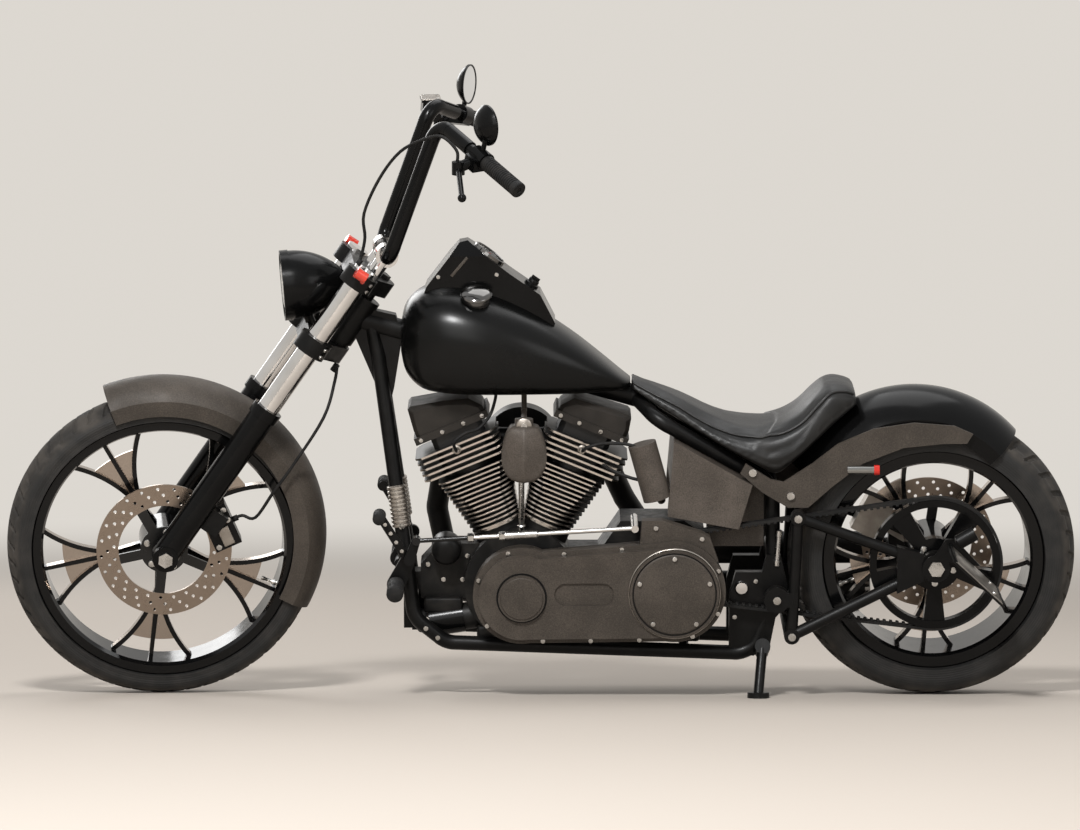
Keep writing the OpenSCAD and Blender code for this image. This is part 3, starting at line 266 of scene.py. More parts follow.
def finFinish(name, side):
    bank = upright @ move(*stance["crank"]) @ turn("Y", side * stance["vee"] / 2)

    def paint(place, facing):
        x, y, z = place.inside(bank).split()
        along = abs(facing.turned(bank).split()[2])
        half = finLook["headHalf"]
        outside = ((z < finLook["headFrom"]) + (abs(x) > half) + (abs(y) > half)).between(0.2, 0.8)
        rim = ((x * x + y * y) ** 0.5 > finLook["barrel"]) * (along < 0.5) * outside
        wear = (rim + (z < finLook["foot"])).between(0.2, 0.8) * place.noise(60).between(0.1, 0.4)
        return {
            "Base Color": wear.mix(finLook["black"], finLook["cut"]),
            "Metallic": wear,
            "Roughness": 0.4 - wear * 0.16,
            "Normal": place.noise(800, 2.0).bump(0.0001),
        }
    makeFinish(name, {"Specular IOR Level": 0.4}, paint)


finFinish("frontFins", -1)
finFinish("rearFins", 1)


# cast wheels: black faces and rim, polished webs and spoke flanks
wheelLook = {"hub": 0.062, "inset": 0.004, "black": (0.0025, 0.0025, 0.0026),
             "polished": (0.42, 0.36, 0.31)}


def wheelFinish(name, wheel, webHalf, openRadius):
    def paint(place, facing):
        x, y, z = place.inside(wheel).split()
        reach = (x * x + z * z) ** 0.5
        spokes = (reach > wheelLook["hub"]) * (reach < openRadius - wheelLook["inset"])
        face = abs(facing.turned(wheel).split()[1])
        web = (abs(y) < webHalf) * (face > 0.7)
        bright = spokes * (web + (face < 0.4)).between(0.2, 0.8)
        return {
            "Base Color": bright.mix(wheelLook["black"], wheelLook["polished"]),
            "Metallic": bright,
            "Roughness": place.noise(30).between(0.3, 0.8) * 0.1 + 0.1 + bright * 0.08,
            "Normal": place.noise(500, 2.0).bump(0.00003),
        }
    makeFinish(name, {"Specular IOR Level": 0.25}, paint)


wheelFinish("frontWheelBlack", frontWheel, 0.0045, 0.264)
wheelFinish("rearWheelBlack", rearWheel, 0.0055, 0.213)


# brake discs: a black carrier inside a swept steel band with turning marks
discLook = {"steel": (0.31, 0.252, 0.205), "carrier": (0.003, 0.003, 0.003), "blur": 0.001,
            "marks": 5200.0}


def discFinish(name, wheel, innerRadius):
    def paint(place, facing):
        x, y, z = place.inside(wheel).split()
        reach = (x * x + z * z) ** 0.5
        band = reach.between(innerRadius - discLook["blur"], innerRadius)
        marks = (reach * discLook["marks"]).maths("SINE") * 0.5 + place.noise(300)
        return {
            "Base Color": band.mix(discLook["carrier"], discLook["steel"]),
            "Metallic": band,
            "Roughness": 0.26 + place.noise(25).between(0.3, 0.8) * 0.12,
            "Normal": marks.bump(0.00002),
        }
    makeFinish(name, {"Specular IOR Level": 0.45}, paint)


discFinish("frontDiscSteel", frontWheel, 0.1)
discFinish("rearDiscSteel", rearWheel, 0.098)


# tyre rubber: dusty on the tread, ringed on the side walls
tyreLook = {"rubber": (0.009, 0.0088, 0.0085), "wall": (0.019, 0.0175, 0.016),
            "dust": (0.062, 0.054, 0.046), "blur": 0.006, "ringed": 1250.0}


def tyreFinish(name, wheel, outer, shoulder):
    def paint(place, facing):
        x, y, z = place.inside(wheel).split()
        reach = (x * x + z * z) ** 0.5
        edge = outer - shoulder
        tread = reach.between(edge - tyreLook["blur"], edge + tyreLook["blur"])
        dusty = place.noise(24).between(0.35, 0.7)
        wall = dusty.mix(tyreLook["rubber"], tyreLook["wall"])
        top = (dusty * 0.6 + 0.2).mix(tyreLook["rubber"], tyreLook["dust"])
        rings = (reach * tyreLook["ringed"]).maths("SINE") * (1 - tread) * 0.4
        return {
            "Base Color": tread.mix(wall, top),
            "Roughness": 0.62 + tread * 0.2 + dusty * 0.06,
            "Normal": (rings + place.noise(700, 2.0)).bump(0.0003),
        }
    makeFinish(name, {"Specular IOR Level": 0.35}, paint)


tyreFinish("frontTyreRubber", frontWheel, 0.342, 0.022)
tyreFinish("rearTyreRubber", rearWheel, 0.316, 0.03)


# saddle hide: pebbled grain with a soft sheen
hideLook = {"tone": (0.0045, 0.0045, 0.0044), "worn": (0.01, 0.0094, 0.0088), "pebble": 420,
            "crease": 55, "rough": 0.34}


def hidePaint(place, facing):
    worn = place.noise(12).between(0.4, 0.75)
    ends = {"Vector": place, "Scale": hideLook["pebble"]}
    pebbles = place.node("TexVoronoi", {"feature": "F1"}, ends)
    creases = place.noise(hideLook["crease"], 6.0)
    return {
        "Base Color": worn.mix(hideLook["tone"], hideLook["worn"]),
        "Roughness": hideLook["rough"] + worn * 0.08 + pebbles * 0.12,
        "Normal": (pebbles * 0.5 + creases * 0.6).bump(0.0006, 0.5),
    }


makeFinish("saddleHide", {"Specular IOR Level": 0.32}, hidePaint)


# fluted lamp glass and ribbed red lenses
glassLook = {"clear": colour(0.97, 0.96, 0.93), "flutes": 900.0, "bend": 1.3}
lensLook = {"deep": (0.5, 0.022, 0.012), "pale": (0.62, 0.05, 0.02), "ribs": 1500.0}


def glassPaint(place, facing):
    flutes = (place.split()[1] * glassLook["flutes"]).maths("SINE")
    return {"Normal": flutes.bump(0.0004, 0.4),
            "Roughness": place.noise(40).between(0.3, 0.8) * 0.04 + 0.01}


glassFixed = {"Base Color": glassLook["clear"], "IOR": glassLook["bend"],
              "Transmission Weight": 1.0}
makeFinish("lampGlass", glassFixed, glassPaint)


def lensPaint(place, facing):
    ribs = (place.split()[2] * lensLook["ribs"]).maths("SINE")
    return {"Base Color": place.noise(60).mix(lensLook["deep"], lensLook["pale"]),
            "Normal": ribs.bump(0.0003, 0.5)}


makeFinish("signalRed", {"Roughness": 0.12, "Coat Weight": 0.6}, lensPaint)


# the rear signals' chromed bodies end in a red lens
signalLook = {"lensFrom": 0.7095, "chrome": (0.3, 0.3, 0.29), "lens": (0.5, 0.02, 0.012)}


def rearSignalPaint(place, facing):
    lens = place.inside(upright).split()[0] > signalLook["lensFrom"]
    return {"Base Color": lens.mix(signalLook["chrome"], signalLook["lens"]),
            "Metallic": 1 - lens, "Roughness": place.noise(40) * 0.08 + 0.05}


makeFinish("rearSignal", {}, rearSignalPaint)


# the gear linkage is bright from its joint back, black ahead of it
linkLook = {"joint": -0.166, "bright": (0.66, 0.65, 0.63), "black": (0.006, 0.006, 0.006)}


def linkPaint(place, facing):
    bright = place.inside(upright).split()[0] > linkLook["joint"]
    return {"Base Color": bright.mix(linkLook["black"], linkLook["bright"]),
            "Metallic": bright, "Roughness": place.noise(50) * 0.1 + 0.16}


makeFinish("gearLink", {"Specular IOR Level": 0.3}, linkPaint)
print("finishes made:", len(finishes))


nodeFinish = {
    "satinBlack": ["frame", "swingarm", "regulator", "side_plate", "foot_controls", "lower_clamp",
                   "upper_clamp", "front_caliper", "side_stand", "cam_cover", "air_cleaner"],
    "glossPaint": ["console", "rear_fender", "fork_lowers", "handlebar", "hand_controls", "mirrors",
                   "headlamp_shell", "rear_pulley", "oil_filter"],
    "tankPaint": ["fuel_tank"],
    "charcoalCoat": ["primary_case", "primary_covers", "fender_struts", "front_fender"],
    "paleCharcoal": ["horn", "coil_can", "oil_tank"],
    "darkCharcoal": ["rocker_boxes"],
    "smokedChrome": ["filler_cap"],
    "darkCasting": ["engine_cases"],
    "castAlloy": ["rear_caliper"],
    "brightChrome": ["fork_tubes", "risers"],
    "brightSteel": ["rear_axle", "front_axle"],
    "gearLink": ["shift_rod"],
    "heatBlack": ["exhaust_pipes"],
    "softRubber": ["drive_belt", "cables", "grips"],
    "frontFins": ["front_cylinder"], "rearFins": ["rear_cylinder"],
    "frontWheelBlack": ["front_rim"], "rearWheelBlack": ["rear_rim"],
    "frontDiscSteel": ["front_disc"], "rearDiscSteel": ["rear_disc"],
    "frontTyreRubber": ["front_tyre"], "rearTyreRubber": ["rear_tyre"],
    "saddleHide": ["seat"], "lampGlass": ["headlamp_lens"], "signalRed": ["front_signals"],
    "rearSignal": ["rear_signals"],
}
for finishName, names in nodeFinish.items():
    for nodeName in names:
        nodes[nodeName].data.materials.clear()
        nodes[nodeName].data.materials.append(finishes[finishName])
print("CAD nodes finished:", sum(len(names) for names in nodeFinish.values()))


# modelling helpers
def clearSelection():
    if bpy.context.object and bpy.context.object.mode != "OBJECT":
        bpy.ops.object.mode_set(mode="OBJECT")
    bpy.ops.object.select_all(action="DESELECT")


def onlySelect(*objects):
    clearSelection()
    for obj in objects:
        obj.select_set(True)
    bpy.context.view_layer.objects.active = objects[0]


def openMesh(obj):
    onlySelect(obj)
    bpy.ops.object.mode_set(mode="EDIT")
    bpy.ops.mesh.select_all(action="SELECT")


def shutMesh():
    bpy.ops.object.mode_set(mode="OBJECT")


def pickFaces(obj, test):
    mesh = bmesh.from_edit_mesh(obj.data)
    bpy.ops.mesh.select_all(action="DESELECT")
    for face in mesh.faces:
        face.select = test(face)
    mesh.select_flush_mode()
    bmesh.update_edit_mesh(obj.data)


def applyModifier(obj, kind, settings):
    onlySelect(obj)
    modifier = obj.modifiers.new(kind.lower(), kind)
    for key, value in settings.items():
        setattr(modifier, key, value)
    bpy.ops.object.modifier_apply(modifier=modifier.name)


# a finished piece: its place goes into its mesh, and it rides on a body
def settle(obj, name, finish, body="chassis", smooth=40):
    onlySelect(obj)
    bpy.ops.object.transform_apply(location=True, rotation=True, scale=True)
    obj.name = obj.data.name = name
    obj.data.materials.clear()
    obj.data.materials.append(finishes[finish])
    bpy.ops.object.shade_smooth_by_angle(angle=math.radians(smooth))
    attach(obj, body)
    return obj


def mergeMesh(obj, outward):
    openMesh(obj)
    bpy.ops.mesh.remove_doubles(threshold=0.00001)
    if outward:
        bpy.ops.mesh.normals_make_consistent(inside=False)
    shutMesh()


# a piece that starts as a CAD node's shape
def nodeCopy(nodeName, outward=False):
    obj = bpy.data.objects.new(nodeName, nodes[nodeName].data.copy())
    bpy.context.scene.collection.objects.link(obj)
    mergeMesh(obj, outward)
    return obj


# a turned piece: a ring extruded and scaled along z from row to row of (radius, z)
def turned(rows, sides, ring=False):
    clearSelection()
    first = rows[0]
    bpy.ops.mesh.primitive_circle_add(vertices=sides, radius=first[0], location=(0, 0, first[1]))
    bpy.ops.object.transform_apply(location=True)
    obj = bpy.context.object
    openMesh(obj)
    if not ring:
        bpy.ops.mesh.edge_face_add()
    for before, row in zip(rows, rows[1:]):
        rise = {"value": (0, 0, row[1] - before[1])}
        bpy.ops.mesh.extrude_region_move(TRANSFORM_OT_translate=rise)
        grow = row[0] / before[0]
        bpy.ops.transform.resize(value=(grow, grow, 1), center_override=(0, 0, row[1]))
    shutMesh()
    mergeMesh(obj, True)
    return obj


# copies of one modelled piece, each with its own mesh, joined at their places
def copies(original, spots):
    made = []
    for spot in spots:
        twin = original.copy()
        twin.data = original.data.copy()
        bpy.context.scene.collection.objects.link(twin)
        twin.matrix_world = spot @ original.matrix_world
        made.append(twin)
    bpy.data.objects.remove(original)
    onlySelect(*made)
    bpy.ops.object.transform_apply(location=True, rotation=True, scale=True)
    if len(made) > 1:
        bpy.ops.object.join()
    return bpy.context.object


# a bevelled block, sized in metres, round its own middle
def block(size, edge):
    clearSelection()
    bpy.ops.mesh.primitive_cube_add(size=1)
    obj = bpy.context.object
    obj.scale = size
    bpy.ops.object.transform_apply(scale=True)
    openMesh(obj)
    bpy.ops.mesh.bevel(offset=edge, segments=3, affect="EDGES")
    shutMesh()
    return obj


# a smooth curve through the rows of a table
def rowAt(rows, u):
    i = min(int(u), len(rows) - 2)
    f = u - i
    a, b, c, d = (Vector(rows[max(0, min(len(rows) - 1, k))]) for k in (i - 1, i, i + 1, i + 2))
    return b + 0.5 * f * (c - a + f * (2 * a - 5 * b + 4 * c - d + f * (3 * (b - c) + d - a)))


# a round tube along points
def tubeAlong(points, radius):
    curve = bpy.data.curves.new("tube", "CURVE")
    curve.dimensions = "3D"
    curve.bevel_depth = radius
    curve.bevel_resolution = 3
    curve.use_fill_caps = True
    line = curve.splines.new("POLY")
    line.points.add(len(points) - 1)
    for point, place in zip(line.points, points):
        point.co = (*place, 1)
    obj = bpy.data.objects.new("tube", curve)
    bpy.context.scene.collection.objects.link(obj)
    onlySelect(obj)
    bpy.ops.object.convert(target="MESH")
    return bpy.context.object


# tyres: a grid wrapped round the wheel, its columns swept along the grooves
tyres = {
    "frontTyre": dict(
        node="front_tyre", body="front_wheel", wheel=frontWheel, finish="frontTyreRubber",
        radius=0.342, width=0.12, crown=0.062, sideRadius=0.024, flange=0.289, bead=0.276,
        seat=0.044, pitches=54, groove=0.0045, treadHalf=0.05, plainCentre=0.006, sweep=0.075),
    "rearTyre": dict(
        node="rear_tyre", body="rear_wheel", wheel=rearWheel, finish="rearTyreRubber", radius=0.316,
        width=0.2, crown=0.11, sideRadius=0.034, flange=0.243, bead=0.229, seat=0.076, pitches=40,
        groove=0.0055, treadHalf=0.086, plainCentre=0.012, sweep=0.13),
}
tyreMould = {
    "rows": 56, "swing": 128,  # points round the section, degrees each way from the tread's middle
    "columns": (0.0, 0.34, 0.4, 0.6, 0.66),  # share of a pitch: land, wall, groove floor, wall
    "middle": 0.012, "shoulder": 0.72, "rimGap": 0.0006, "beadGap": 0.0004,
    "grooveRise": 0.006, "grooveFall": 0.008, "plainWall": 0.005, "bow": 0.7,
}


def tyreProfile(look):
    lip, foot = look["flange"] + tyreMould["rimGap"], look["bead"] + tyreMould["beadGap"]
    seat, half = look["seat"] - tyreMould["beadGap"], look["width"] / 2
    hub, bend = look["flange"] + tyreMould["middle"], look["sideRadius"]
    rounds = [(look["radius"] - look["crown"], 0.0, look["crown"])]
    for side in (-1, 1):
        rounds.append((look["flange"] + tyreMould["shoulder"] * bend, side * (half - bend), bend))
    rows = []
    for k in range(tyreMould["rows"] + 1):
        angle = math.radians(tyreMould["swing"] * (2 * k / tyreMould["rows"] - 1))
        along, across = math.cos(angle), math.sin(angle)
        far = 0.0
        for up, out, radius in rounds:
            b = (hub - up) * along - out * across
            root = b * b - (hub - up) ** 2 - out ** 2 + radius * radius
            if root > 0:
                far = max(far, -b + math.sqrt(root))
        if abs(far * across) > half:
            far = half / abs(across)
        if hub + far * along < lip:
            far = (lip - hub) / along
        rows.append((hub + far * along, far * across))
    return [(foot, -seat), (lip, -seat)] + rows + [(lip, seat), (foot, seat), (foot, -seat)]


def grooveDepth(look, across):
    half = abs(across)
    rise = min(1.0, max(0.0, (half - look["plainCentre"]) / tyreMould["grooveRise"]))
    fall = min(1.0, max(0.0, (look["treadHalf"] - half) / tyreMould["grooveFall"]))
    return look["groove"] * rise * fall


def makeTyre(name, look):
    profile, columns = tyreProfile(look), tyreMould["columns"]
    count, rows = look["pitches"] * len(columns), len(profile) - 1
    clearSelection()
    bpy.ops.mesh.primitive_grid_add(x_subdivisions=count, y_subdivisions=rows, size=2)
    obj = bpy.context.object
    step = 2 * math.pi / look["pitches"]
    for vertex in obj.data.vertices:
        column = round((vertex.co.x + 1) / 2 * count)
        radius, across = profile[round((vertex.co.y + 1) / 2 * rows)]
        share = columns[column % len(columns)]
        bow = min(1.0, abs(across) / look["treadHalf"]) ** tyreMould["bow"]
        angle = step * (column // len(columns) + share) + look["sweep"] * bow
        if radius > look["flange"] + tyreMould["plainWall"] and share in columns[2:4]:
            radius -= grooveDepth(look, across)
        vertex.co = (radius * math.cos(angle), across, radius * math.sin(angle))
    mergeMesh(obj, True)
    obj.matrix_world = look["wheel"]
    settle(obj, name, look["finish"], look["body"], 35)
    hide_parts(look["node"])


for tyreName, tyreValues in tyres.items():
    makeTyre(tyreName, tyreValues)
print("tyres treaded")


# saddle: foam under hide, swelled by a cloth simulation and pulled in along its seams
saddle = {
    "voxel": 0.006, "smooth": 0.5, "smoothings": 4, "base": 0.35, "shrink": 0.0035, "cap": 0.006,
    "pressure": 4.0, "steps": 20, "stretch": 40, "bend": 5, "fill": 0.85,
    "seamWidth": 0.007, "seamDip": 0.003, "piping": 0.0032, "proud": 0.3,
    "halfWidth": 0.145, "seamOut": 0.86, "seamUp": 0.82,
    "seamFrom": 0.15, "seamRun": 9.5, "seamSteps": 96,
}
saddleRows = [  # x, share of the half width, height of the widest line, height of the top
    (0.1825, 0.36, 0.696, 0.716), (0.230, 0.5, 0.672, 0.694), (0.290, 0.66, 0.640, 0.668),
    (0.368, 0.86, 0.596, 0.630), (0.436, 0.97, 0.570, 0.612), (0.494, 1, 0.566, 0.616),
    (0.545, 0.97, 0.580, 0.642), (0.584, 0.9, 0.612, 0.680), (0.616, 0.82, 0.646, 0.706),
    (0.652, 0.74, 0.664, 0.704), (0.676, 0.66, 0.668, 0.690)]


def seamPath(side):
    path = []
    for k in range(saddle["seamSteps"] + 1):
        along = saddle["seamFrom"] + saddle["seamRun"] * k / saddle["seamSteps"]
        x, share, low, top = rowAt(saddleRows, along)
        out = side * share * saddle["halfWidth"] * saddle["seamOut"]
        path.append(upright @ Vector((x, out, low + (top - low) * saddle["seamUp"])))
    return path


def stuff(obj, held):
    start = [v.co.copy() for v in obj.data.vertices]
    obj.vertex_groups.new(name="held").add(held, 1.0, "REPLACE")
    onlySelect(obj)
    cloth = obj.modifiers.new("stuffing", "CLOTH")
    hide = cloth.settings
    hide.use_pressure = True
    hide.uniform_pressure_force = saddle["pressure"]
    hide.vertex_group_mass = "held"
    hide.effector_weights.gravity = 0
    hide.tension_stiffness = hide.compression_stiffness = saddle["stretch"]
    hide.bending_stiffness = saddle["bend"]
    scene = bpy.context.scene
    for step in range(1, saddle["steps"] + 1):
        scene.frame_set(step)
    bpy.ops.object.modifier_apply(modifier=cloth.name)
    scene.frame_set(1)
    obj.vertex_groups.clear()
    for v, first in zip(obj.data.vertices, start):
        shift = v.co - first
        if shift.length > saddle["cap"]:
            v.co = first + shift * (saddle["cap"] / shift.length)


def pullSeams(obj):
    path = [p for side in (-1, 1) for p in seamPath(side)]
    tree = KDTree(len(path))
    for i, p in enumerate(path):
        tree.insert(p, i)
    tree.balance()
    for v, normal in [(v, v.normal.copy()) for v in obj.data.vertices]:
        gap = tree.find(v.co)[2]
        v.co -= normal * saddle["seamDip"] * math.exp(-(gap / saddle["seamWidth"]) ** 2)


def makeSaddle():
    obj = nodeCopy("seat", True)
    applyModifier(obj, "REMESH", {"mode": "VOXEL", "voxel_size": saddle["voxel"]})
    applyModifier(obj, "SMOOTH", {"factor": saddle["smooth"], "iterations": saddle["smoothings"]})
    down = upright.to_3x3() @ Vector((0, 0, -1))
    held = [v.index for v in obj.data.vertices if v.normal.dot(down) > saddle["base"]]
    heldSet = set(held)
    for v, normal in [(v, v.normal.copy()) for v in obj.data.vertices]:
        if v.index not in heldSet:
            v.co -= normal * saddle["shrink"]
    stuff(obj, held)
    pullSeams(obj)
    applyModifier(obj, "SUBSURF", {"levels": 1, "render_levels": 1})
    settle(obj, "saddle", "saddleHide", smooth=60)
    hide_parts("seat")
    return obj


def makePiping(base):
    for side, name in ((-1, "saddlePipingLeft"), (1, "saddlePipingRight")):
        found = [base.closest_point_on_mesh(p)[1:3] for p in seamPath(side)]
        proud = saddle["piping"] * saddle["proud"]
        piping = tubeAlong([p + normal * proud for p, normal in found], saddle["piping"])
        settle(piping, name, "saddleHide", smooth=60)


makePiping(makeSaddle())
print("saddle made")


# handlebar grips with raised rubber rings
grip = {
    "end": (-0.0922, 0.342, 1.195), "along": (0.150, 0.245, -0.100), "length": 0.122,
    "collar": [(0.0128, 0), (0.017, 0), (0.0175, 0.002), (0.0175, 0.01)],  # radius, z from within
    "ring": [(0.0157, 0.1), (0.0157, 0.35), (0.0173, 0.48), (0.0173, 0.95)],  # radius, pitch share
    "cap": [(0.0175, -0.005), (0.0175, -0.002), (0.0155, -0.0002), (0.006, -0.0002),
            (0.005, -0.0025), (0.0005, -0.0025)],  # radius, z from outer end
    "pitch": 0.0062, "ringsFrom": 0.011, "ringsTo": 0.012, "sides": 28,
}


def gripFrame(side):
    x, y, z = grip["end"]
    along = Vector((grip["along"][0], side * grip["along"][1], grip["along"][2]))
    return bars @ move(x, side * y, z) @ along.to_track_quat("Z", "Y").to_matrix().to_4x4()


def makeGrips():
    rows = [(radius, z - grip["length"]) for radius, z in grip["collar"]]
    at = grip["ringsFrom"] - grip["length"]
    while at < -grip["ringsTo"]:
        rows += [(radius, at + share * grip["pitch"]) for radius, share in grip["ring"]]
        at += grip["pitch"]
    both = copies(turned(rows + grip["cap"], grip["sides"]), [gripFrame(s) for s in (-1, 1)])
    settle(both, "ribbedGrips", "softRubber", "steering")
    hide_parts("grips")


makeGrips()


# mirror glasses in the round cups
mirror = {
    "mid": (-0.1542, 0.2226, 1.3117), "yaw": -25, "sides": 40,
    "rows": [(0.0406, 0.0062), (0.0406, 0.0068), (0.02842, 0.0074), (0.01218, 0.0078),
             (0.001, 0.0079)],
}


def makeMirrorGlass():
    x, y, z = mirror["mid"]
    spots = [bars @ move(x, side * y, z) @ turn("Z", side * mirror["yaw"]) @ turn("Y", 90)
             for side in (-1, 1)]
    glass = copies(turned(mirror["rows"], mirror["sides"]), spots)
    settle(glass, "mirrorGlasses", "mirrorGlass", "steering")


makeMirrorGlass()


# headlamp bowl and bulb behind the glass
lamp = {
    "at": (-0.568, 0, 0.918), "tip": 86, "rim": 0.0665, "start": 0.0192, "depth": 0.0658,
    "steps": 11, "spread": 0.97, "neck": 0.012, "wall": 0.0012, "sides": 48, "bulbSides": 20,
    "bulb": [(0.002, 0.034), (0.006, 0.036), (0.008, 0.042), (0.008, 0.06), (0.012, 0.064),
             (0.012, 0.084)],
}


def bowlRows():
    wall, rows = lamp["wall"], []
    for k in range(lamp["steps"] + 1):
        f = k / lamp["steps"]
        radius = lamp["rim"] * (1 - f) ** 0.5 * lamp["spread"] + lamp["neck"] * f
        rows.append((radius, lamp["start"] + lamp["depth"] * f))
    back = [(radius + wall, z + wall) for radius, z in reversed(rows)]
    return rows + back[:-1] + [(rows[0][0] + wall, rows[0][1])]


def makeLampBowl():
    lampFrame = bars @ move(*lamp["at"]) @ turn("Y", lamp["tip"])
    bowl = copies(turned(bowlRows(), lamp["sides"], ring=True), [lampFrame])
    settle(bowl, "lampBowl", "brightChrome", "steering", 60)
    bulb = copies(turned(lamp["bulb"], lamp["bulbSides"]), [lampFrame])
    settle(bulb, "lampBulb", "brightSteel", "steering", 60)


makeLampBowl()
print("bars and lamp dressed")


# places on the flanks, a piece's own z pointing outward
def leftSide(x, y, z):
    return upright @ move(x, -y, z) @ leftward


def rightSide(x, y, z):
    return upright @ move(x, y, z) @ rightward


def bothSides(x, y, z):
    return [leftSide(x, y, z), rightSide(x, y, z)]


def circleSpots(base, count, radius, first=90.0):
    return [base @ turn("Z", first + k * 360 / count) @ move(radius, 0, 0) for k in range(count)]


# a frame whose z runs from one point toward another
def frameAlong(start, end):
    run = Vector(end) - Vector(start)
    return Matrix.Translation(start) @ run.to_track_quat("Z", "Y").to_matrix().to_4x4()


# the primary drive's cover: depths to the left, centres in x and z
primary = {"face": 0.195, "derbyFace": 0.203, "crankFace": 0.204, "crank": (-0.056, 0.257),
           "clutch": (0.276, 0.266)}


def onClutch(depth):
    x, z = primary["clutch"]
    return leftSide(x, depth, z)


def onCrank(side, depth):
    x, z = primary["crank"]
    return side(x, depth, z)


# smooth skins over the lofted tank and the control lines
skins = {
    "tankSkin": dict(node="fuel_tank", body="chassis", finish="tankPaint", smooth=32),
    "controlLines": dict(node="cables", body="steering", finish="softRubber", smooth=50),
}
for skinName, row in skins.items():
    skin = settle(nodeCopy(row["node"]), skinName, row["finish"], row["body"], row["smooth"])
    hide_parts(row["node"])


# horn cover, folded to an upright ridge
hornFold = {"at": (-0.050, -0.118, 0.562), "edge": -0.0225, "ridge": 0.027, "halfWidth": 0.048,
            "halfHeight": 0.066}


def makeHorn():
    obj = nodeCopy("horn")
    middle = upright @ move(*hornFold["at"])
    across = middle.to_3x3() @ Vector((1, 0, 0))
    openMesh(obj)
    bpy.ops.mesh.bisect(plane_co=middle.translation, plane_no=across)
    shutMesh()
    toHorn = middle.inverted()
    for v in obj.data.vertices:
        p = toHorn @ v.co
        if p.y < hornFold["edge"] and abs(p.z) < hornFold["halfHeight"]:
            rise = math.sqrt(1 - (p.z / hornFold["halfHeight"]) ** 2)
            slope = 1 - abs(p.x) / hornFold["halfWidth"]
            p.y = hornFold["edge"] - hornFold["ridge"] * slope * rise
            v.co = middle @ p
    settle(obj, "hornCover", "paleCharcoal", smooth=26)
    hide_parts("horn")


makeHorn()
print("skins smoothed")


# raised ribs along a turned piece, as a peg's rubber or as a sleeve
def ribRows(length, valley, crest, count):
    pitch = length / count
    shares = ((valley, 0.08), (crest, 0.3), (crest, 0.75), (valley, 0.95))
    return [(radius, (k + share) * pitch) for k in range(count) for radius, share in shares]


def pegRows(length, valley, crest, count):
    ribs = ribRows(length - 0.002, valley, crest, count)
    end = [(valley, length - 0.001), (valley - 0.002, length), (0.0005, length + 0.0005)]
    return [(valley - 0.001, 0)] + ribs + end


def sleeveRows(length, bore, valley, crest, count):
    ribs = ribRows(length, valley, crest, count)
    return [(bore, 0), (valley, 0)] + ribs + [(valley, length), (bore, length), (bore, 0)]


# sleeves on the front down tubes
downTube = {"top": (-0.3307, 0.0503, 0.478), "foot": (-0.3186, 0.0621, 0.388), "length": 0.0916}


def sleeveSpots():
    ends = [[(x, side * y, z) for x, y, z in (downTube["top"], downTube["foot"])]
            for side in (-1, 1)]
    return [upright @ frameAlong(*pair) for pair in ends]


dial = upright @ move(-0.126, 0, 0.981) @ turn("Y", 37.3)
keySwitch = upright @ move(-0.034, 0, 0.914) @ turn("Y", 34.9)
fillerTop = upright @ move(-0.153, -0.088, 0.895) @ turn("X", 26)
gearRod = upright @ frameAlong((-0.284, -0.178, 0.381), (0.19, -0.178, 0.408))
frontValve = frontWheel @ turn("Y", -13) @ move(0.2645, 0, 0) @ turn("Y", -90)
rearValve = rearWheel @ turn("Y", 160) @ move(0.2135, 0, 0) @ turn("Y", -90)
valveRows = [(0.006, 0), (0.006, 0.005), (0.0038, 0.008), (0.0038, 0.024), (0.0046, 0.025),
             (0.0046, 0.033), (0.0006, 0.034)]

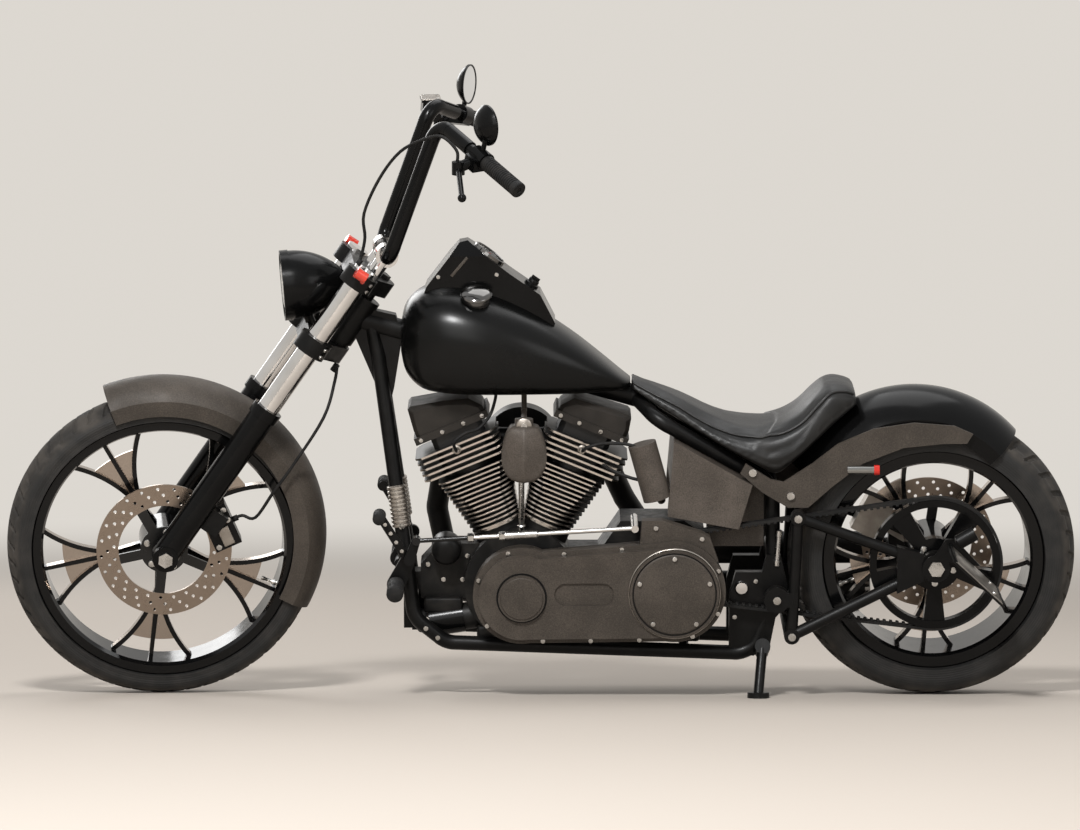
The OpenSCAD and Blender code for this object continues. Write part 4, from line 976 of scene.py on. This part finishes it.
# turned trim: rows of (radius, z), sides, finish, places; on the chassis unless a body is named
turnedTrim = {
    "derbyCover": dict(
        rows=[(0.0885, 0), (0.0885, 0.0012), (0.0872, 0.0024), (0.085, 0.0028), (0.001, 0.0032)],
        sides=64, finish="charcoalCoat", spots=[onClutch(primary["derbyFace"])]),
    "derbyRing": dict(
        rows=[(0.098, 0), (0.098, 0.0016), (0.0988, 0.0024), (0.1002, 0.0016), (0.1008, 0),
            (0.098, 0)],
        sides=72, ring=True, finish="castAlloy", spots=[onClutch(primary["face"])]),
    # a flat satin-black ring round the derby cover: painted shadow standing in for the shade of a
    # gap
    "derbyPaintedShadowRing": dict(
        rows=[(0.0886, -0.0005), (0.0886, 0.0006), (0.0918, 0.0006), (0.0918, -0.0005),
            (0.0886, -0.0005)],
        sides=72, ring=True, finish="satinBlack", spots=[onClutch(primary["derbyFace"])]),
    # a flat satin-black ring round the crank cover's boss: painted shadow standing in for the shade
    # of a gap
    "crankPaintedShadowRing": dict(
        rows=[(0.0512, -0.0005), (0.0512, 0.0006), (0.0552, 0.0006), (0.0552, -0.0005),
            (0.0512, -0.0005)],
        sides=56, ring=True, finish="satinBlack", spots=[onCrank(leftSide, primary["face"])]),
    "crankCover": dict(
        rows=[(0.0465, 0), (0.0465, 0.001), (0.045, 0.0024), (0.001, 0.0034)], sides=48,
        finish="charcoalCoat", spots=[onCrank(leftSide, primary["crankFace"])]),
    "capDome": dict(
        rows=[(0.0335, 0.0152), (0.0335, 0.0178), (0.031, 0.0205), (0.024, 0.0238), (0.014, 0.0258),
            (0.0008, 0.0265)],
        sides=48, finish="smokedChrome", spots=[fillerTop], angle=60),
    "dialBezel": dict(
        rows=[(0.034, -0.001), (0.034, 0.006), (0.0355, 0.0075), (0.0385, 0.0065), (0.0395, -0.001),
            (0.034, -0.001)],
        sides=56, ring=True, finish="smokedChrome", spots=[dial]),
    "dialFace": dict(
        rows=[(0.0338, -0.001), (0.0338, 0.0028), (0.0005, 0.003)], sides=48, finish="gaugeFace",
        spots=[dial]),
    "keySwitch": dict(
        rows=[(0.0165, -0.001), (0.0165, 0.004), (0.0125, 0.006), (0.0125, 0.012), (0.011, 0.014),
            (0.0005, 0.0145)],
        sides=32, finish="satinBlack", spots=[keySwitch]),
    "pegRubbers": dict(
        rows=pegRows(0.096, 0.0162, 0.0186, 11), sides=28, finish="softRubber",
        spots=bothSides(-0.330, 0.1415, 0.275)),
    "toeRubbers": dict(
        rows=pegRows(0.05, 0.0122, 0.0142, 7), sides=24, finish="softRubber",
        spots=bothSides(-0.364, 0.158, 0.435)),
    "tubeSleeves": dict(
        rows=sleeveRows(downTube["length"], 0.0162, 0.0184, 0.0208, 10), sides=28, ring=True,
        finish="castAlloy", spots=sleeveSpots()),
    "rodSleeve": dict(
        rows=[(0.0056, 0.188), (0.0085, 0.19), (0.0085, 0.262), (0.0056, 0.264)], sides=24,
        finish="brightSteel", spots=[gearRod]),
    "rodNuts": dict(
        rows=[(0.0062, 0.11), (0.0105, 0.112), (0.0105, 0.124), (0.0062, 0.126)], sides=6,
        finish="brightSteel", spots=[gearRod, gearRod @ move(0, 0, 0.068)]),
    "postRod": dict(
        rows=[(0.004, 0), (0.0072, 0.002), (0.0072, 0.014), (0.0058, 0.015), (0.0058, 0.066),
            (0.0072, 0.067), (0.0072, 0.08), (0.004, 0.082)],
        sides=24, finish="brightSteel",
        spots=[upright @ frameAlong((0.501, -0.0975, 0.305), (0.507, -0.0975, 0.387))]),
    "plateKnob": dict(
        rows=[(0.0155, -0.001), (0.0155, 0.007), (0.0125, 0.011), (0.0005, 0.0125)], sides=32,
        finish="brightChrome", spots=[leftSide(0.425, 0.098, 0.258)]),
    "hornStud": dict(
        rows=[(0.0165, -0.006), (0.0165, 0.002), (0.0145, 0.0035), (0.0005, 0.004)], sides=32,
        finish="castAlloy", spots=[leftSide(-0.050, 0.1335, 0.626)]),
    "hornStay": dict(
        rows=[(0.0065, 0), (0.0065, 0.118), (0.009, 0.12), (0.009, 0.13)], sides=20,
        finish="brightSteel",
        spots=[upright @ frameAlong((-0.056, -0.112, 0.505), (-0.056, -0.066, 0.385))]),
    "plugBoots": dict(
        rows=[(0.0095, -0.006), (0.0095, 0.004), (0.007, 0.005), (0.007, 0.02), (0.005, 0.026),
            (0.0005, 0.027)],
        sides=20, finish="castAlloy", spots=[leftSide(x, 0.078, 0.563) for x in (-0.197, 0.076)]),
    "frontCover": dict(
        rows=[(0.033, -0.001), (0.033, 0.046), (0.031, 0.054), (0.025, 0.06), (0.012, 0.0635),
            (0.0008, 0.064)],
        sides=40, finish="satinBlack", spots=[leftSide(-0.221, 0.04, 0.34)], angle=60),
    "airRing": dict(
        rows=[(0.0612, -0.0005), (0.0612, 0.002), (0.063, 0.003), (0.0655, 0.002),
            (0.0665, -0.0005), (0.0612, -0.0005)],
        sides=56, ring=True, finish="brightSteel", spots=[rightSide(-0.056, 0.15, 0.54)]),
    "airCover": dict(
        rows=[(0.055, 0), (0.055, 0.001), (0.053, 0.0025), (0.03, 0.0036), (0.001, 0.004)],
        sides=48, finish="darkCharcoal", spots=[rightSide(-0.056, 0.158, 0.54)]),
    "pipeTips": dict(
        rows=[(0.0318, -0.008), (0.0318, 0.002), (0.0335, 0.004), (0.0366, 0.002), (0.0366, -0.008),
            (0.0318, -0.008)],
        sides=48, ring=True, finish="smokedChrome",
        spots=[upright @ move(0.72, 0.212, 0.19) @ turn("Y", 90),
            upright @ move(0.76, 0.212, 0.28) @ turn("Y", 90)]),
    "frontValve": dict(
        rows=valveRows, sides=16, body="front_wheel", finish="brightSteel", spots=[frontValve]),
    "rearValve": dict(
        rows=valveRows, sides=16, body="rear_wheel", finish="brightSteel", spots=[rearValve]),
}
for trimName, row in turnedTrim.items():
    piece = copies(turned(row["rows"], row["sides"], row.get("ring", False)), row["spots"])
    settle(piece, trimName, row["finish"], row.get("body", "chassis"), row.get("angle", 40))
print("turned trim:", len(turnedTrim))


# flat trim: bevelled blocks on the console, levers, engine, brake and plate
toeLever = {"root": (-0.304, 0.150, 0.335), "tip": (-0.364, 0.158, 0.435), "out": 0.0085}


def bladeSpots():
    spots = []
    for side in (-1, 1):
        root, tip = (Vector((x, side * (y + toeLever["out"]), z))
                     for x, y, z in (toeLever["root"], toeLever["tip"]))
        spots.append(upright @ frameAlong(root, tip) @ move(0, 0, (tip - root).length / 2))
    return spots


caliper = frontWheel @ turn("Y", -58) @ move(0.134, -0.082, 0) @ leftward
fluidLid = bars @ move(-0.2322, 0.2376, 1.2798)
platePlace = upright @ move(0.924, -0.262, 0.320) @ turn("Y", 43)
flatTrim = {
    # raised ribs on the console's flanks, real in shape, coated lighter charcoal than the gloss
    # console: a painted reflection line along each rib
    "consoleRibsPaintedReflection": dict(
        size=(0.054, 0.003, 0.0065), edge=0.001, finish="charcoalCoat",
        spots=[upright @ move(-0.19, s * 0.0525, 0.962) @ turn("Y", -49.7) for s in (-1, 1)]),
    "keyGrip": dict(
        size=(0.02, 0.0045, 0.008), edge=0.001, finish="satinBlack",
        spots=[keySwitch @ move(0, 0, 0.017)]),
    "dialNeedle": dict(
        size=(0.03, 0.0014, 0.0008), edge=0.0002, finish="signalRed",
        spots=[dial @ turn("Z", 52) @ move(-0.009, 0, 0.0036)]),
    "dialMarks": dict(
        size=(0.005, 0.0012, 0.0008), edge=0.0002, finish="paleMark",
        spots=[dial @ turn("Z", 45 + k * 13.5) @ move(0.029, 0, 0.003) for k in range(21)]),
    "leverBlades": dict(
        size=(0.005, 0.019, 0.108), edge=0.0018, finish="satinBlack", spots=bladeSpots()),
    "caseSkirts": dict(
        size=(0.49, 0.04, 0.037), edge=0.008, finish="darkCasting",
        spots=[upright @ move(0.09, s * 0.053, 0.1478) for s in (-1, 1)]),
    "filterMount": dict(
        size=(0.086, 0.056, 0.034), edge=0.006, finish="darkCasting",
        spots=[upright @ move(-0.229, -0.032, 0.21)]),
    "brakeInsert": dict(
        size=(0.026, 0.044, 0.006), edge=0.0028, body="steering", finish="castAlloy",
        spots=[caliper @ move(0.004, -0.021, 0.001)]),
    "fluidLid": dict(
        size=(0.042, 0.058, 0.003), edge=0.001, body="steering", finish="castAlloy",
        spots=[fluidLid]),
    "blankPlate": dict(
        size=(0.138, 0.168, 0.002), edge=0.0008, finish="castAlloy",
        spots=[platePlace @ move(0, 0, 0.003)]),
    "plateFrame": dict(
        size=(0.006, 0.168, 0.003), edge=0.001, finish="satinBlack",
        spots=[platePlace @ move(s * 0.069, 0, 0.004) for s in (-1, 1)]),
}
for trimName, row in flatTrim.items():
    piece = copies(block(row["size"], row["edge"]), row["spots"])
    settle(piece, trimName, row["finish"], row.get("body", "chassis"))
print("flat trim:", len(flatTrim))


# teeth on the belt's two free runs
belt = {"pulley": (0.845, 0.316), "pulleyRadius": 0.143, "sprocket": (0.29, 0.31),
        "sprocketRadius": 0.07, "y": -0.118, "pitch": 0.014, "tooth": (0.0068, 0.0216, 0.0044),
        "edge": 0.0012, "sunk": 0.45}


def toothSpots():
    start, end = Vector(belt["sprocket"]), Vector(belt["pulley"])
    ahead = (end - start).normalized()
    slope = (belt["pulleyRadius"] - belt["sprocketRadius"]) / (end - start).length
    spots = []
    for side in (-1, 1):
        out = side * math.sqrt(1 - slope * slope) * Vector((-ahead.y, ahead.x)) - slope * ahead
        first = start + out * belt["sprocketRadius"]
        run = end + out * belt["pulleyRadius"] - first
        count = int(run.length / belt["pitch"])
        tilt = turn("Y", -math.degrees(math.atan2(run.y, run.x)))
        for k in range(1, count - 1):
            at = first + run * (k + 0.5) / count - out * belt["tooth"][2] * belt["sunk"]
            spots.append(upright @ move(at.x, belt["y"], at.y) @ tilt)
    return spots


settle(copies(block(belt["tooth"], belt["edge"]), toothSpots()), "beltTeeth", "softRubber")


# ignition leads, held between plug, coil and tank
leads = {"radius": 0.0036, "steps": 8, "routes": [
    [(-0.197, -0.102, 0.563), (-0.202, -0.116, 0.586), (-0.178, -0.114, 0.606),
     (-0.15, -0.104, 0.614), (-0.125, -0.09, 0.64), (-0.113, -0.07, 0.672),
     (-0.111, -0.062, 0.692)],
    [(0.076, -0.102, 0.563), (0.088, -0.114, 0.574), (0.115, -0.116, 0.582), (0.15, -0.118, 0.584),
     (0.18, -0.121, 0.581), (0.204, -0.122, 0.572)],
    [(0.12, -0.074, 0.528), (0.14, -0.1, 0.521), (0.18, -0.118, 0.508), (0.216, -0.122, 0.5)]]}


def makeLeads():
    tubes = []
    for route in leads["routes"]:
        count = leads["steps"] * (len(route) - 1)
        points = [upright @ rowAt(route, k / leads["steps"]) for k in range(count + 1)]
        tubes.append(tubeAlong(points, leads["radius"]))
    onlySelect(*tubes)
    bpy.ops.object.join()
    settle(bpy.context.object, "ignitionLeads", "softRubber", smooth=60)


makeLeads()


# bolts: one socket-headed bolt, copied to every place
boltShape = {"sides": 14, "round": 0.18, "socket": 0.34, "deep": 0.6}  # shares of radius and height


def boltHead(radius, height):
    clearSelection()
    bpy.ops.mesh.primitive_cylinder_add(vertices=boltShape["sides"], radius=radius, depth=height,
                                        location=(0, 0, height / 2))
    bpy.ops.object.transform_apply(location=True)
    head = bpy.context.object
    openMesh(head)
    pickFaces(head, lambda face: face.normal.z > 0.9)
    bpy.ops.mesh.bevel(offset=radius * boltShape["round"], segments=2, affect="EDGES")
    pickFaces(head, lambda face: face.normal.z > 0.99 and face.calc_area() > radius * radius)
    bpy.ops.mesh.inset(thickness=radius * boltShape["socket"])
    sink = {"value": (0, 0, -height * boltShape["deep"])}
    bpy.ops.mesh.extrude_region_move(TRANSFORM_OT_translate=sink)
    shutMesh()
    return head


# bolts round the primary cover's rim, on its hump and on the derby cover
rimBolts = {
    "rim": 0.177, "hump": 0.168, "derby": 0.2058,  # depths
    "crank": 0.1, "crankAngles": (107, 159, 221), "clutch": 0.1065, "clutchAngles": (26, -27, -68),
    "edges": [(0.036, 0.351), (0.162, 0.3605), (-0.01, 0.1575), (0.094, 0.158), (0.2, 0.1595)],
    "humps": [(0.236, 0.406), (0.336, 0.382)], "derbyCircle": 0.08,
}


def primarySpots():
    rim = []
    for end in ("crank", "clutch"):
        x, z = primary[end]
        for angle in map(math.radians, rimBolts[end + "Angles"]):
            rim.append((x + rimBolts[end] * math.cos(angle), z + rimBolts[end] * math.sin(angle)))
    spots = [leftSide(x, rimBolts["rim"], z) for x, z in rim + rimBolts["edges"]]
    spots += [leftSide(x, rimBolts["hump"], z) for x, z in rimBolts["humps"]]
    return spots + circleSpots(onClutch(rimBolts["derby"]), 5, rimBolts["derbyCircle"])


# bolts on the rear hub's two faces: depth and circle, with the first bolt's angle
hubBolts = {"pulley": -0.128, "pulleyCircle": 0.042, "disc": 0.105, "discCircle": 0.041,
            "first": 54}


def hubSpots():
    pulley = rearWheel @ move(0, hubBolts["pulley"], 0) @ leftward
    disc = rearWheel @ move(0, hubBolts["disc"], 0) @ rightward
    return (circleSpots(pulley, 5, hubBolts["pulleyCircle"], hubBolts["first"])
            + circleSpots(disc, 5, hubBolts["discCircle"], hubBolts["first"]))


# bolts along the foot of each rocker box
rockerFoot = {"along": (-0.078, -0.028, 0.022, 0.066), "half": 0.071, "up": 0.384}


def rockerSpots():
    spots = []
    for side in (-1, 1):
        bank = upright @ move(*stance["crank"]) @ turn("Y", side * stance["vee"] / 2)
        for x in rockerFoot["along"]:
            foot = bank @ move(-side * x, 0, rockerFoot["up"])
            spots.append(foot @ move(0, -rockerFoot["half"], 0) @ leftward)
            spots.append(foot @ move(0, rockerFoot["half"], 0) @ rightward)
    return spots


# pinch bolts on the fork clamps
pinch = {"leg": 0.105, "heights": (-0.091, -0.073, 0.084, 0.1), "swing": 50, "out": 0.0368}


def clampSpots():
    spots = []
    for side in (-1, 1):
        for z in pinch["heights"]:
            leg = fork @ move(-stance["forkOffset"], side * pinch["leg"], z)
            face = leg @ turn("Z", side * pinch["swing"]) @ move(pinch["out"], 0, 0)
            spots.append(face @ turn("Y", 90))
    return spots


frontHub = frontWheel @ move(0, -0.059, 0) @ leftward
boltSets = {
    "primaryBolts": dict(radius=0.0052, height=0.005, spots=primarySpots()),
    "frontDiscBolts": dict(
        radius=0.0075, height=0.007, body="front_wheel", spots=circleSpots(frontHub, 5, 0.041, 46)),
    "rearHubBolts": dict(radius=0.007, height=0.007, body="rear_wheel", spots=hubSpots()),
    "strutBolts": dict(
        radius=0.009, height=0.006,
        spots=bothSides(0.447, 0.127, 0.52) + bothSides(0.53, 0.127, 0.468)),
    "leverBolts": dict(
        radius=0.0044, height=0.004,
        spots=[spot for f in (0.2, 0.4, 0.6, 0.8)
            for spot in bothSides(-0.304 - 0.06 * f, 0.1606 + 0.008 * f, 0.335 + 0.1 * f)]),
    "frontBolts": dict(
        radius=0.0055, height=0.005,
        spots=[leftSide(x, 0.04, z) for x, z in ((-0.262, 0.299), (-0.228, 0.265), (-0.175, 0.318),
            (-0.186, 0.265))] + [leftSide(x, 0.1035, z) for x, z in ((-0.266, 0.169),
            (-0.24, 0.148))]),
    "sleeveBolts": dict(radius=0.006, height=0.005, spots=bothSides(-0.318, 0.0822, 0.392)),
    "consoleBolts": dict(
        radius=0.0045, height=0.003,
        spots=bothSides(-0.236, 0.052, 0.94) + bothSides(-0.109, 0.052, 0.945)),
    "rockerBolts": dict(radius=0.0048, height=0.0045, spots=rockerSpots()),
    "armBolts": dict(
        radius=0.009, height=0.007,
        spots=bothSides(0.545, 0.164, 0.425) + bothSides(0.533, 0.164, 0.162)
            + bothSides(0.5, 0.162, 0.243)),
    "pivotBolts": dict(
        radius=0.005, height=0.0045,
        spots=[spot for x, z in ((0.41, 0.192), (0.456, 0.272), (0.462, 0.128))
            for spot in bothSides(x, 0.098, z)]),
    "camBolts": dict(
        radius=0.005, height=0.0045, finish="smokedChrome",
        spots=circleSpots(rightSide(-0.05, 0.106, 0.261), 5, 0.05)
            + circleSpots(onCrank(rightSide, 0.096), 7, 0.083)),
    "airBolts": dict(
        radius=0.005, height=0.004, spots=circleSpots(rightSide(-0.056, 0.161, 0.54), 3, 0.036)),
    "hornBolt": dict(radius=0.0075, height=0.006, spots=[leftSide(-0.050, 0.137, 0.626)]),
    "clampBolts": dict(radius=0.0048, height=0.004, body="steering", spots=clampSpots()),
    "brakeBolts": dict(
        radius=0.0065, height=0.005, body="steering",
        spots=[caliper @ move(x, y, 0) for x, y in ((-0.02, -0.038), (0.022, 0.012),
            (0.022, 0.036))]),
    "lidBolts": dict(
        radius=0.003, height=0.0015, body="steering",
        spots=[fluidLid @ move(x, y, 0.0015) for x in (-0.014, 0.014) for y in (-0.022, 0.022)]),
    "plateBolts": dict(
        radius=0.005, height=0.003,
        spots=[platePlace @ move(0.045, y, 0.004) for y in (-0.05, 0.05)]),
}
for boltName, row in boltSets.items():
    bolts = copies(boltHead(row["radius"], row["height"]), row["spots"])
    settle(bolts, boltName, row.get("finish", "brightSteel"), row.get("body", "chassis"))
print("bolts:", len(boltSets))


# stage: pale floor that melts into the pale surroundings, and soft lamps
stageLook = {"floor": (0.46, 0.41, 0.36), "matt": 0.9, "size": 400, "below": 0.0004,
             "near": 3.0, "melt": 11.0, "far": (0.72, 0.685, 0.635), "zenith": (0.72, 0.72, 0.72),
             "soft": (0.44, 0.44, 0.44), "aim": (0, 0.1, 0.6)}
lamps = [  # name, place, size, power
    ("keyLamp", (-1.2, -4.9, 4.5), 0.9, 400),
    ("sideLamp", (-1.2, -6.5, 2.4), 3.0, 60),
    ("fillLamp", (4.2, -4.6, 2.4), 2.6, 45),
    ("topLamp", (0.6, 1.2, 4.6), 3.0, 60),
    ("backLamp", (-2.5, 4.8, 3.2), 2.4, 80),
]


def makeFloor():
    clearSelection()
    bpy.ops.mesh.primitive_plane_add(size=stageLook["size"], location=(0, 0, -stageLook["below"]))
    floor = bpy.context.object
    floor.name = "floor"
    material = bpy.data.materials.new("floorPaint")
    material.use_nodes = True
    tree = material.node_tree
    shader, output = tree.nodes["Principled BSDF"], tree.nodes["Material Output"]
    shader.inputs["Base Color"].default_value = colour(*stageLook["floor"])
    shader.inputs["Roughness"].default_value = stageLook["matt"]
    place = Wire(tree, tree.nodes.new("ShaderNodeTexCoord").outputs["Object"])
    reach = place.node("VectorMath", {"operation": "LENGTH"}, {0: place}, 1)
    share = reach.between(stageLook["near"], stageLook["melt"])
    paint = Wire(tree, shader.outputs[0])
    glow = place.node("Emission", {}, {"Color": colour(*stageLook["far"])})
    melted = place.node("MixShader", {}, {0: share, 1: paint, 2: glow})
    tree.links.new(melted.socket, output.inputs["Surface"])
    floor.data.materials.append(material)


def makeLamps():
    for name, spot, size, power in lamps:
        look = Vector(stageLook["aim"]) - Vector(spot)
        bpy.ops.object.light_add(type="AREA", location=spot, rotation=aimAlong(look))
        light = bpy.context.object
        light.name = name
        light.data.size = size
        light.data.energy = power


# the eye and metal see the backdrop, matt faces a softer sky
def makeSky():
    world = bpy.data.worlds.new("studio")
    bpy.context.scene.world = world
    world.use_nodes = True
    tree = world.node_tree
    source = tree.nodes.new("ShaderNodeTexCoord")
    height = Wire(tree, source.outputs["Generated"]).split()[2]
    sky = height.between(0.05, 0.9).mix(stageLook["far"], stageLook["zenith"])
    rays = tree.nodes.new("ShaderNodeLightPath").outputs
    kinds = ("Is Camera Ray", "Is Glossy Ray", "Is Transmission Ray")
    seen = sum(Wire(tree, rays[kind]) for kind in kinds).between(0.2, 0.8)
    lit = seen.mix(stageLook["soft"], sky)
    tree.links.new(lit.socket, tree.nodes["Background"].inputs["Color"])


makeFloor()
makeLamps()
makeSky()
bpy.context.scene.view_settings.view_transform = "Standard"
print("stage set")
